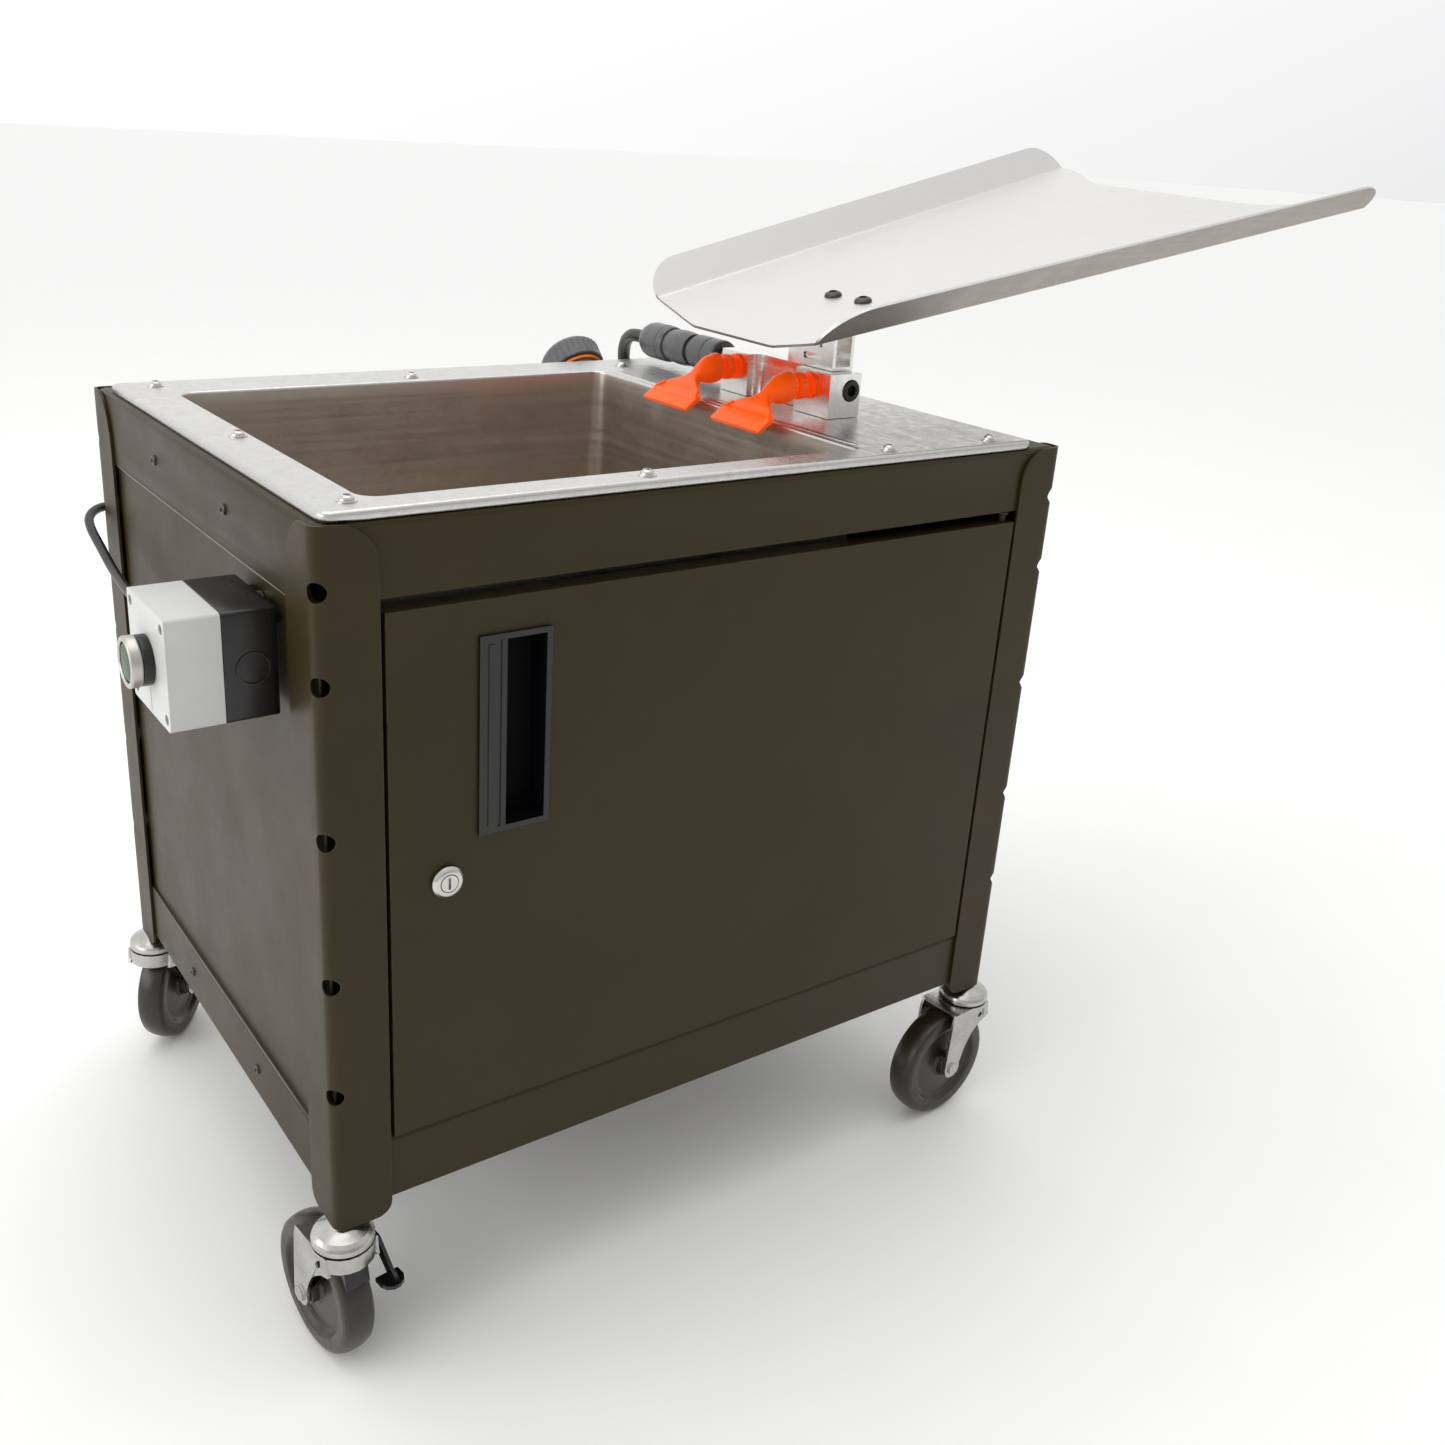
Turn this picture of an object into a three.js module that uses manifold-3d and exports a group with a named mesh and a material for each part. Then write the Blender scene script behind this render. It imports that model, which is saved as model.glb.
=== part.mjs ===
// Parts washer tank: a black steel cabinet on four swivel casters with a stainless tank let into its top,
// two flexible spray nozzles on an aluminium manifold, and a feed chute bolted above the manifold.
// Millimetres, +Z up, door at -Y. The origin is the bottom centre of the machine's box, without its cords.
import * as THREE from 'three';
import { mergeVertices } from 'three/addons/utils/BufferGeometryUtils.js';
import Module from 'manifold-3d';

const wasm = await Module();
wasm.setup();

// ---------------------------------------------------------------- driving dimensions
const GAP = 0.3;                       // air between two touching pieces
const CART_W = 609.6, CART_D = 457.2, CART_TOP = 609.6;
const HALF_W = CART_W / 2, HALF_D = CART_D / 2;
const SHEET = 1.5;                     // panel and shelf sheet
const LEG = { sheet: 2, front: 40.5, side: 43, bend: 8, bottom: 123 };
const LEG_HOLES = [571, 514, 414, 313, 230];
const SHELF = { inset: 2.4, corner: 7, edge: 4, frontBottom: 562, sideBottom: 556 };
const BASE = { top: 184, bottom: 135 };
const PANEL_X = 300, PANEL_BACK_Y = 221;
const DOOR = { x: 261.5, bottom: 184.8, top: 553.8, face: -228.3, depth: 16 };
const HINGE = { x: 255, y: -221, pin: 3 };
const HANDLE = { x0: -201, x1: -150, z0: 396, z1: 531, proud: 2, depth: 20 };
const POCKET = { x0: -182, x1: -154, z0: 400, z1: 527 };
const LOCK = { x: -223, z: 369, ring: 11, barrel: 9, plug: 6 };
const DECK = { x0: -297, x1: 275, y0: -225, y1: 205, top: 616, skirt: 609.9, corner: 8 };
const BOWL = { x0: -261, x1: 118, y0: -199, y1: 151, corner: 12, floor: 413, round: 14 };
const DRAIN = { x: -72, y: -24, hole: 22 };
const BAR = { x0: 169, x1: 201, y0: -105, y1: 38, bottom: 616.3, top: 651, pocket0: -62, pocket1: 1 };
const BAR_AXIS = { x: 191, z: 637.5 };
const NOZZLES = { front: -80, rear: 16, z: 639 };
const CHUTE = { x: 185, y: -34, z: 698.4, slope: 11.5, roll: 2.3, low: -64.8, high: 505,
  lowHalf: 102.7, highHalf: 173.2, flange: 33.9, bend: 46.6, sheet: 2 };
const BRACKET = { x0: 180, x1: 201, y0: -93, y1: -37, sheet: 3 };
const BOX = { back: -306, split: -339, front: -372, y0: -172, y1: -98, z0: 478, z1: 548 };
const BUTTON = { y: -135, z: 513 };
const CASTER = { x: 296, y: 217.5, wheel: 50.8, trail: 27, width: 24, crown: 107, dome: 21.6, stem: 4 };
const BRAKE = { u: -2, z: 97, pin: 2.2, low: 77, thick: 3 };
const HEADINGS = { front_left: 96.5, front_right: 184, back_left: 48, back_right: 20 };
const CORD = { cable: 7.5, hose: 12, sides: 8 };

// ---------------------------------------------------------------- materials
const finish = (color, roughness, metalness) =>
  new THREE.MeshStandardMaterial({ color, roughness, metalness });
const BLACK_PAINT = finish(0x24221f, 0.5, 0.2);
const STAINLESS = finish(0xb9b7b2, 0.3, 0.95);
const ALUMINIUM = finish(0xc9c9c7, 0.35, 0.9);
const ZINC = finish(0xb4b3ae, 0.3, 0.9);
const NICKEL = finish(0xc8c4ba, 0.25, 0.95);
const BRASS = finish(0xb08d4a, 0.3, 0.9);
const BLACK_PLASTIC = finish(0x161616, 0.5, 0);
const GREY_PLASTIC = finish(0x4a4b4d, 0.55, 0);
const WHITE_PLASTIC = finish(0xdcdcda, 0.45, 0);
const ORANGE_PLASTIC = finish(0xff5216, 0.4, 0);
const GREEN_LENS = finish(0x3f7a5c, 0.3, 0);
const RUBBER = finish(0x1b1a19, 0.4, 0);
const POLY = finish(0xd8d8cf, 0.6, 0);
const MOTOR_PAINT = finish(0x2e4a63, 0.5, 0.1);

// ---------------------------------------------------------------- solids
function solid(geometry) {
  const bare = geometry.clone();
  bare.deleteAttribute('normal');
  bare.deleteAttribute('uv');
  const merged = mergeVertices(bare, 1e-4);
  const corners = merged.index.array, at = merged.attributes.position;
  const point = (i) => new THREE.Vector3().fromBufferAttribute(at, i);
  const triangles = [];
  let volume = 0;
  for (let i = 0; i < corners.length; i += 3) {
    const [p, q, r] = corners.slice(i, i + 3);
    if (p === q || q === r || r === p) continue;
    triangles.push([p, q, r]);
    volume += point(p).dot(point(q).cross(point(r)));
  }
  const facing = volume < 0 ? triangles.map(([p, q, r]) => [p, r, q]) : triangles;
  return new wasm.Manifold(new wasm.Mesh({
    numProp: 3, vertProperties: new Float32Array(at.array), triVerts: new Uint32Array(facing.flat()),
  }));
}

const join = (first, ...rest) => rest.reduce((sum, next) => sum.add(next), first);
const cut = (first, ...rest) => rest.reduce((left, next) => left.subtract(next), first);

function box(x0, x1, y0, y1, z0, z1) {
  const block = new THREE.BoxGeometry(x1 - x0, y1 - y0, z1 - z0);
  block.translate((x0 + x1) / 2, (y0 + y1) / 2, (z0 + z1) / 2);
  return solid(block);
}

const [EX, EY, EZ] = [[1, 0, 0], [0, 1, 0], [0, 0, 1]].map((v) => new THREE.Vector3(...v));
const AXES = {
  x: new THREE.Matrix4().makeBasis(EY, EZ, EX),
  y: new THREE.Matrix4().makeBasis(EZ, EX, EY),
  z: new THREE.Matrix4(),
};

// A flat outline swept along one axis from a to b. Its two coordinates are (y,z), (z,x) or (x,y).
function prism(shape, axis, a, b, curveSegments = 6) {
  const geometry = new THREE.ExtrudeGeometry(shape, { depth: b - a, bevelEnabled: false, curveSegments });
  geometry.translate(0, 0, a);
  geometry.applyMatrix4(AXES[axis]);
  return solid(geometry);
}

const outline = (points) => new THREE.Shape(points.map(([a, b]) => new THREE.Vector2(a, b)));

function arc(cx, cy, rx, ry, from, to, steps) {
  return Array.from({ length: steps + 1 }, (_, i) => {
    const angle = THREE.MathUtils.degToRad(from + (to - from) * i / steps);
    return [cx + rx * Math.cos(angle), cy + ry * Math.sin(angle)];
  });
}

function roundedRect(x0, x1, y0, y1, r, steps = 4) {
  return outline([
    ...arc(x1 - r, y0 + r, r, r, -90, 0, steps), ...arc(x1 - r, y1 - r, r, r, 0, 90, steps),
    ...arc(x0 + r, y1 - r, r, r, 90, 180, steps), ...arc(x0 + r, y0 + r, r, r, 180, 270, steps),
  ]);
}

// A block with rounded upright corners and rounded top and bottom edges.
function softBlock(x0, x1, y0, y1, z0, z1, corner, edge, steps = 4, bevels = 3) {
  const shape = roundedRect(x0 + edge, x1 - edge, y0 + edge, y1 - edge, corner - edge, steps);
  const geometry = new THREE.ExtrudeGeometry(shape, {
    depth: z1 - z0 - 2 * edge, bevelThickness: edge, bevelSize: edge, bevelSegments: bevels,
  });
  geometry.translate(0, 0, z0 + edge);
  return solid(geometry);
}

// A round solid or ring from [radius, height] pairs. A profile off the axis closes on itself.
function turned(profile, segments = 16) {
  const onAxis = profile[0][0] === 0;
  const points = profile.map(([r, h]) => new THREE.Vector2(r, h));
  if (!onAxis) points.push(points[0].clone());
  return new THREE.LatheGeometry(points, segments).rotateX(Math.PI / 2);
}

// The same, with its height along a direction and its zero at a point.
function turnedAt(profile, at, direction, segments = 16) {
  const geometry = turned(profile, segments);
  const turn = new THREE.Quaternion().setFromUnitVectors(
    new THREE.Vector3(0, 0, 1), new THREE.Vector3(...direction).normalize());
  geometry.applyQuaternion(turn);
  geometry.translate(...at);
  return solid(geometry);
}

const rod = (radius, a, b, at, direction, segments = 16) =>
  turnedAt([[0, a], [radius, a], [radius, b], [0, b]], at, direction, segments);

const ballProfile = (radius, centre, from, to, steps) =>
  arc(0, centre, radius, radius, from, to, steps).map(([r, h]) => [Math.max(r, 0), h]);

function tube(points, diameter, steps, sides = CORD.sides) {
  const path = new THREE.CatmullRomCurve3(points.map((p) => new THREE.Vector3(...p)), false, 'centripetal');
  const section = outline(arc(0, 0, diameter / 2, diameter / 2, 0, 360 - 360 / sides, sides - 1));
  return solid(new THREE.ExtrudeGeometry(section, { steps, extrudePath: path, bevelEnabled: false }));
}

// ---------------------------------------------------------------- scene graph
const machine = new THREE.Group();
const cords = new THREE.Group();

function piece(name, body, material, parent = machine) {
  const { vertProperties, triVerts, numProp } = body.getMesh();
  const geometry = new THREE.BufferGeometry();
  const positions = [];
  for (let i = 0; i < vertProperties.length; i += numProp) positions.push(...vertProperties.slice(i, i + 3));
  geometry.setAttribute('position', new THREE.Float32BufferAttribute(positions, 3));
  geometry.setIndex(Array.from(triVerts));
  const mesh = new THREE.Mesh(geometry, material);
  mesh.name = name;
  parent.add(mesh);
  return mesh;
}

// ---------------------------------------------------------------- cabinet
// A formed angle at a corner: both flanges end in a swept curve at the top and a small radius at the foot.
function leg(name, sx, sy) {
  const { sheet, front, side, bend, bottom } = LEG;
  const at = (points) => points.map(([a, b]) => [sx * a, sy * b]);
  const outer = arc(HALF_W - bend, HALF_D - bend, bend, bend, 0, 90, 3);
  const inner = arc(HALF_W - bend, HALF_D - bend, bend - sheet, bend - sheet, 90, 0, 3);
  const section = outline(at([
    [HALF_W, HALF_D - side], ...outer, [HALF_W - front, HALF_D], [HALF_W - front, HALF_D - sheet], ...inner,
    [HALF_W - sheet, HALF_D - side],
  ]));
  const body = prism(section, 'z', bottom, CART_TOP);
  const topSweep = (edge, sign, reach, drop) => outline([
    [edge - 1, CART_TOP - drop], ...arc(edge + reach, CART_TOP - drop, reach, drop, 180, 90, 5),
    [edge + reach, CART_TOP + 1], [edge - 1, CART_TOP + 1],
  ].map(([a, b]) => [sign * a, b]));
  const footSweep = (edge, sign, r) => outline([
    [edge - 1, bottom + r], ...arc(edge + r, bottom + r, r, r, 180, 270, 3),
    [edge + r, bottom - 1], [edge - 1, bottom - 1],
  ].map(([a, b]) => [sign * a, b]));
  const swap = (shape) => outline(shape.getPoints().map((p) => [p.y, p.x]));
  const low = (a, b) => [Math.min(a, b), Math.max(a, b)];
  const across = low(sy * (HALF_D - sheet - 1), sy * (HALF_D + 1));
  const along = low(sx * (HALF_W - sheet - 1), sx * (HALF_W + 1));
  const drill = (z) => rod(6.2, -16, 2, [sx * HALF_W, sy * HALF_D, z], [sx, sy, 0], 10);
  const gusset = prism(outline(at([
    [HALF_W - 30, HALF_D - sheet], [HALF_W - sheet - 5, HALF_D - sheet], [HALF_W - sheet, HALF_D - sheet - 5],
    [HALF_W - sheet, HALF_D - 30], [HALF_W - 20, HALF_D - 30], [HALF_W - 30, HALF_D - 20],
  ])), 'z', bottom + 1, bottom + 5);
  const stemAt = [sx * CASTER.x, sy * CASTER.y, 0];
  const stemHole = rod(CASTER.stem + GAP, bottom - 2, bottom + 8, stemAt, [0, 0, 1], 12);
  const shaped = cut(body,
    prism(swap(topSweep(HALF_W - front, sx, 27, 25)), 'y', ...across),
    prism(topSweep(HALF_D - side, sy, 27, 44), 'x', ...along),
    prism(swap(footSweep(HALF_W - front, sx, 11)), 'y', ...across),
    prism(footSweep(HALF_D - side, sy, 11), 'x', ...along), ...LEG_HOLES.map(drill));
  piece(name, cut(join(shaped, gusset), stemHole), BLACK_PAINT);
}

// A shallow pan turned upside down: a deck with four skirts.
function pan(top, bottom) {
  const x = HALF_W - SHELF.inset, y = HALF_D - SHELF.inset;
  const shell = (grow, height) => softBlock(-x + grow, x - grow, -y + grow, y - grow, bottom - 20, height,
    SHELF.corner - grow, SHELF.edge - grow, 3, 2);
  const below = box(-x - 1, x + 1, -y - 1, y + 1, bottom - 30, bottom);
  return cut(shell(0, top), shell(SHEET, top - SHEET), below);
}

function shelves() {
  const { x0, x1, y0, y1 } = BOWL;
  const bowlHole = prism(roundedRect(x0 - 4, x1 + 4, y0 - 4, y1 + 4, 16, 3), 'z', 600, 620);
  const skirtTrim = box(-290, 290, -HALF_D, HALF_D, SHELF.sideBottom - 1, SHELF.frontBottom);
  piece('top_shelf', cut(pan(CART_TOP, SHELF.sideBottom), bowlHole, skirtTrim), BLACK_PAINT);
  piece('bottom_shelf', pan(BASE.top, BASE.bottom), BLACK_PAINT);
}

function panels() {
  const z0 = BASE.top + 0.5, z1 = SHELF.sideBottom - 0.5, y1 = PANEL_BACK_Y - 2;
  piece('side_panel_left', box(-PANEL_X, -PANEL_X + SHEET, -222, y1, z0, z1), BLACK_PAINT);
  piece('side_panel_right', box(PANEL_X - SHEET, PANEL_X, -222, y1, z0, z1), BLACK_PAINT);
  const back = box(-296, 296, PANEL_BACK_Y, PANEL_BACK_Y + SHEET, z0, SHELF.frontBottom - 0.5);
  const cableHole = rod(8, PANEL_BACK_Y - 5, PANEL_BACK_Y + 5, [-234, 0, 490], [0, 1, 0], 16);
  const hoseHole = rod(9, PANEL_BACK_Y - 5, PANEL_BACK_Y + 5, [218, 0, 470], [0, 1, 0], 16);
  piece('back_panel', cut(back, cableHole, hoseHole), BLACK_PAINT);
}

// ---------------------------------------------------------------- door
function door() {
  const { x, bottom, top, face, depth } = DOOR;
  const tray = cut(box(-x, x, face, face + depth, bottom, top),
    box(-x + SHEET, x - SHEET, face + SHEET, face + depth + 1, bottom + SHEET, top - SHEET));
  const pocketHole = box(POCKET.x0 - 2, POCKET.x1 + 2, face - 1, face + 3, POCKET.z0 - 2, POCKET.z1 + 2);
  const lockHole = rod(LOCK.barrel + GAP, -2, 4, [LOCK.x, face, LOCK.z], [0, 1, 0]);
  const eye = (z0, z1) => cut(box(HINGE.x - 7, x - SHEET + 0.2, face + SHEET - 0.2, HINGE.y + 6, z0, z1),
    rod(HINGE.pin + GAP, z0 - 1, z1 + 1, [HINGE.x, HINGE.y, 0], [0, 0, 1], 12));
  const skirtHole = (z) => rod(HINGE.pin + GAP, z - 3, z + 3, [HINGE.x, HINGE.y, 0], [0, 0, 1], 12);
  piece('door', cut(join(cut(tray, pocketHole, lockHole), eye(bottom + SHEET - 0.2, bottom + 14),
    eye(top - 14, top - SHEET + 0.2)), skirtHole(bottom), skirtHole(top)), BLACK_PAINT);

  const pin = (z0, z1) => rod(HINGE.pin, z0, z1, [HINGE.x, HINGE.y, 0], [0, 0, 1], 12);
  const head = rod(5, top + 5.5, top + 7.5, [HINGE.x, HINGE.y, 0], [0, 0, 1], 12);
  piece('hinge_pin_upper', join(pin(top - 12, top + 6), head), BLACK_PAINT);
  piece('hinge_pin_lower', pin(BASE.top + GAP, bottom + 12), BLACK_PAINT);
}

// A recessed pull: a proud frame with a deep finger pocket beside a ridged grip strip.
function handle() {
  const { x0, x1, z0, z1, proud, depth } = HANDLE;
  const face = DOOR.face - GAP;
  const frame = box(x0, x1, face - proud, face, z0, z1);
  const well = box(POCKET.x0 - 1.6, POCKET.x1 + 1.6, face - 0.5, face + depth,
    POCKET.z0 - 1.6, POCKET.z1 + 1.6);
  const ridge = box(-195, -191, face - proud - 1, face - proud + 0.5, z0 + 6, z1 - 6);
  const slot = box(-188.2, -185.8, face - proud - 1, face - proud + 1, POCKET.z0, POCKET.z1);
  const hollow = box(POCKET.x0, POCKET.x1, face - proud - 1, face + depth - 1.6, POCKET.z0, POCKET.z1);
  piece('door_handle', cut(join(frame, well, ridge), slot, hollow), BLACK_PLASTIC);
}

function lock() {
  const at = [LOCK.x, DOOR.face, LOCK.z], out = [0, -1, 0];
  const { ring, barrel, plug } = LOCK;
  const bore = plug + GAP;
  piece('lock_body', turnedAt([[bore, -15], [barrel, -15], [barrel, GAP], [ring, GAP], [ring, 2.5],
    [ring - 2, 4.5], [bore + 1.5, 5], [bore, 5]], at, out), NICKEL);
  const key = box(LOCK.x - 0.8, LOCK.x + 0.8, DOOR.face - 8, DOOR.face - 2, LOCK.z - 4, LOCK.z + 4);
  const core = rod(plug, -17.6, 5.2, at, out);
  const cam = prism(outline([[LOCK.x - 7, LOCK.z + 8], [LOCK.x - 7, LOCK.z - 50], [LOCK.x + 7, LOCK.z - 50],
    [LOCK.x + 7, LOCK.z + 8]].map(([x, z]) => [z, x])), 'y', DOOR.face + 17.4, DOOR.face + 19.4);
  piece('lock_cylinder', cut(join(core, cam), key), NICKEL);
}

// ---------------------------------------------------------------- tank
function tank() {
  const { x0, x1, y0, y1, corner, floor, round } = BOWL;
  const deck = cut(
    softBlock(DECK.x0, DECK.x1, DECK.y0, DECK.y1, DECK.skirt - 8, DECK.top, DECK.corner, 3, 3, 2),
    softBlock(DECK.x0 + SHEET, DECK.x1 - SHEET, DECK.y0 + SHEET, DECK.y1 - SHEET, DECK.skirt - 16,
      DECK.top - SHEET, DECK.corner - SHEET, 1.5, 3, 1),
    box(-400, 400, -400, 400, DECK.skirt - 40, DECK.skirt));
  const bowl = (grow, top) => softBlock(x0 - grow, x1 + grow, y0 - grow, y1 + grow, floor - grow,
    top + 30, corner + 8 + grow, round + grow, 4, 3);
  const above = box(-400, 400, -400, 400, DECK.top, DECK.top + 60);
  const underDeck = box(-400, 400, -400, 400, DECK.top - 0.6, DECK.top + 60);
  const walls = cut(bowl(SHEET, DECK.top), underDeck);
  const drainHole = rod(DRAIN.hole, floor - 20, floor + 5, [DRAIN.x, DRAIN.y, 0], [0, 0, 1]);
  piece('tank', cut(join(deck, walls), bowl(0, DECK.top), drainHole, above), STAINLESS);
}

// The strainer is flanged above the tank floor and nutted below it. Its tailpipe ends in the reservoir.
function drain() {
  const { x, y, hole } = DRAIN;
  const z = BOWL.floor;
  const body = turnedAt([[12, -90], [14, -90], [14, -24], [20.5, -18], [20.5, -SHEET - GAP - 8],
    [29, -SHEET - GAP - 8], [29, -SHEET - GAP], [21.5, -SHEET - GAP], [21.5, GAP], [29, GAP], [28, 2.2],
    [18, 2.2], [18, -16], [12, -22]], [x, y, z], [0, 0, 1], 20);
  piece('drain_strainer', body, STAINLESS);
}

// ---------------------------------------------------------------- manifold and nozzles
function manifold() {
  const { x0, x1, y0, y1, bottom, top, pocket0, pocket1 } = BAR;
  const { x, z } = BAR_AXIS;
  const bar = box(x0, x1, y0, y1, bottom, top);
  const pocket = prism(roundedRect(x0 - 20, x0 + 12, pocket0, pocket1, 8, 4), 'z', bottom - 1, top + 1);
  const gallery = rod(6, y0 - 1, y1 + 1, [x, 0, z], [0, 1, 0], 16);
  const plugSeat = rod(8.8, y0 - 1, y0 + 9.5, [x, 0, z], [0, 1, 0]);
  const fittingSeat = rod(8.3, y1 - 12.5, y1 + 1, [x, 0, z], [0, 1, 0]);
  const port = (y) => rod(6.3, x0 - 1, x, [0, y, NOZZLES.z], [1, 0, 0], 16);
  piece('manifold', cut(bar, pocket, gallery, plugSeat, fittingSeat, port(NOZZLES.front), port(NOZZLES.rear)),
    ALUMINIUM);
  const head = turnedAt([[0, -9], [8.5, -9], [8.5, 0.6], [7.8, 1.2], [0, 1.2]], [x, y0, z], [0, -1, 0]);
  const socket = rod(4.6, -4, 2, [x, y0, z], [0, -1, 0], 6);
  piece('manifold_plug', cut(head, socket), BLACK_PLASTIC);
}

// Each nozzle is a threaded base, one ball-jointed ring and a flat fan tip that twists on the last ball.
function nozzle(name, y) {
  const face = BAR.x0, z = NOZZLES.z, out = [-1, 0, 0];
  const at = (d) => [face - d, y, z];
  const ball = 6.2, firstBall = 11.5, secondBall = 23.5, bore = 2.8;
  const base = turnedAt([[bore, -10], [6, -10], [6, GAP], [10.5, GAP], [10.5, 3.2], [4.3, 3.8],
    ...ballProfile(ball, firstBall, -48, 56, 4), [bore, firstBall + 5.4]], at(0), out);
  piece(`nozzle_${name}_base`, base, ORANGE_PLASTIC);

  const socket = ball + GAP + 0.1;
  const lip = (centre) => [socket * Math.cos(0.62), centre - socket * Math.sin(0.62)];
  const ring = turnedAt([lip(firstBall), [8.6, firstBall - 4.4], [10.4, firstBall - 2.6],
    [10.4, firstBall + 2.4], [8.4, firstBall + 4], [4.3, firstBall + 5.8],
    ...ballProfile(ball, secondBall, -48, 56, 4), [bore, secondBall + 5.4], [bore, firstBall + 6.2],
    ...ballProfile(socket, firstBall, 62, -30, 4).slice(0, -1)], at(0), out);
  piece(`nozzle_${name}_ring`, ring, ORANGE_PLASTIC);

  // The tip's collar is in line with the ring. Its pear-shaped body leans down to a fan that leans further.
  const droop = THREE.MathUtils.degToRad(20), centre = face - secondBall, reach = 20;
  const collar = turnedAt([[0, secondBall - 4.6], [9.4, secondBall - 4.6], [11.8, secondBall - 2.4],
    [11.8, secondBall], [0, secondBall]], at(0), out);
  const pear = turnedAt([[0, -3], [11.4, -3], [12, 0], [11.8, 4], [10.8, 9], [8.8, 14], [6.4, 19],
    [5.4, 22], [0, 22]], at(secondBall), [-Math.cos(droop), 0, -Math.sin(droop)]);
  const cavity = turnedAt([[0, secondBall - 5], lip(secondBall).map((v, i) => v - i),
    ...ballProfile(socket, secondBall, -30, 84, 5), [0, secondBall + socket]], at(0), out);
  const neck = centre - reach * Math.cos(droop), neckZ = z - reach * Math.sin(droop);
  const lipX = 96, lipZ = 611.5, half = 31;
  const lean = Math.atan2(neckZ - lipZ, neck - lipX), depth = Math.hypot(neckZ - lipZ, neck - lipX);
  const fan = new THREE.ExtrudeGeometry(outline([
    [-1, -5], [4, -7], [depth - 17, -half], [depth, -half], [depth, half], [depth - 17, half], [4, 7],
    [-1, 5],
  ]), { depth: 8, bevelEnabled: false });
  fan.translate(0, 0, -4);
  const frame = new THREE.Matrix4().makeBasis(
    new THREE.Vector3(-Math.cos(lean), 0, -Math.sin(lean)), new THREE.Vector3(0, 1, 0),
    new THREE.Vector3(Math.sin(lean), 0, -Math.cos(lean)));
  const place = (geometry) => solid(geometry.applyMatrix4(frame).translate(neck, y, neckZ));
  const wedge = (side) => {
    const taper = new THREE.ExtrudeGeometry(outline([[6, 4.2], [depth + 2, 1.7], [depth + 2, 9], [6, 9]]),
      { depth: 2 * half + 4, bevelEnabled: false });
    taper.translate(0, 0, -half - 2);
    taper.rotateX(side * Math.PI / 2);
    return place(taper);
  };
  const slit = place(new THREE.BoxGeometry(12, 2 * half - 4, 0.9).translate(depth - 4, 0, 0));
  const body = cut(join(pear, place(fan)), wedge(1), wedge(-1), slit);
  piece(`nozzle_${name}_tip`, cut(join(body, collar), cavity), ORANGE_PLASTIC);
}

// ---------------------------------------------------------------- hose coupling
function coupling() {
  const at = [BAR_AXIS.x, BAR.y1, BAR_AXIS.z], out = [0, 1, 0];
  piece('inlet_fitting', turnedAt([[4, -12], [8, -12], [8, GAP], [12, GAP], [12, 12], [9, 13], [9, 25],
    [4, 25]], at, out, 18), BRASS);
  piece('coupler_body', turnedAt([[5, 26], [13, 26], [15, 29], [15, 66], [11.5, 67], [11.5, 104], [15.5, 105],
    [16.4, 110], [16.4, 136], [13, 144], [7.8, 147], [0, 147], [0, 64], [5, 62]], at, out, 20), GREY_PLASTIC);
  piece('coupler_collar', turnedAt([[11.8, 71], [14.4, 71], [15.6, 75], [15.6, 98], [14.8, 102.7],
    [11.8, 102.7]], at, out, 20), GREY_PLASTIC);
}

// ---------------------------------------------------------------- chute
const basis = (first, second) =>
  new THREE.Matrix4().makeBasis(first, second, new THREE.Vector3().crossVectors(first, second));

function chuteFrame() {
  const slope = THREE.MathUtils.degToRad(CHUTE.slope), roll = THREE.MathUtils.degToRad(CHUTE.roll);
  const along = new THREE.Vector3(Math.cos(slope), 0, Math.sin(slope));
  const across = new THREE.Vector3(0, 1, 0).applyAxisAngle(along, roll);
  return basis(along, across);
}

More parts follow.
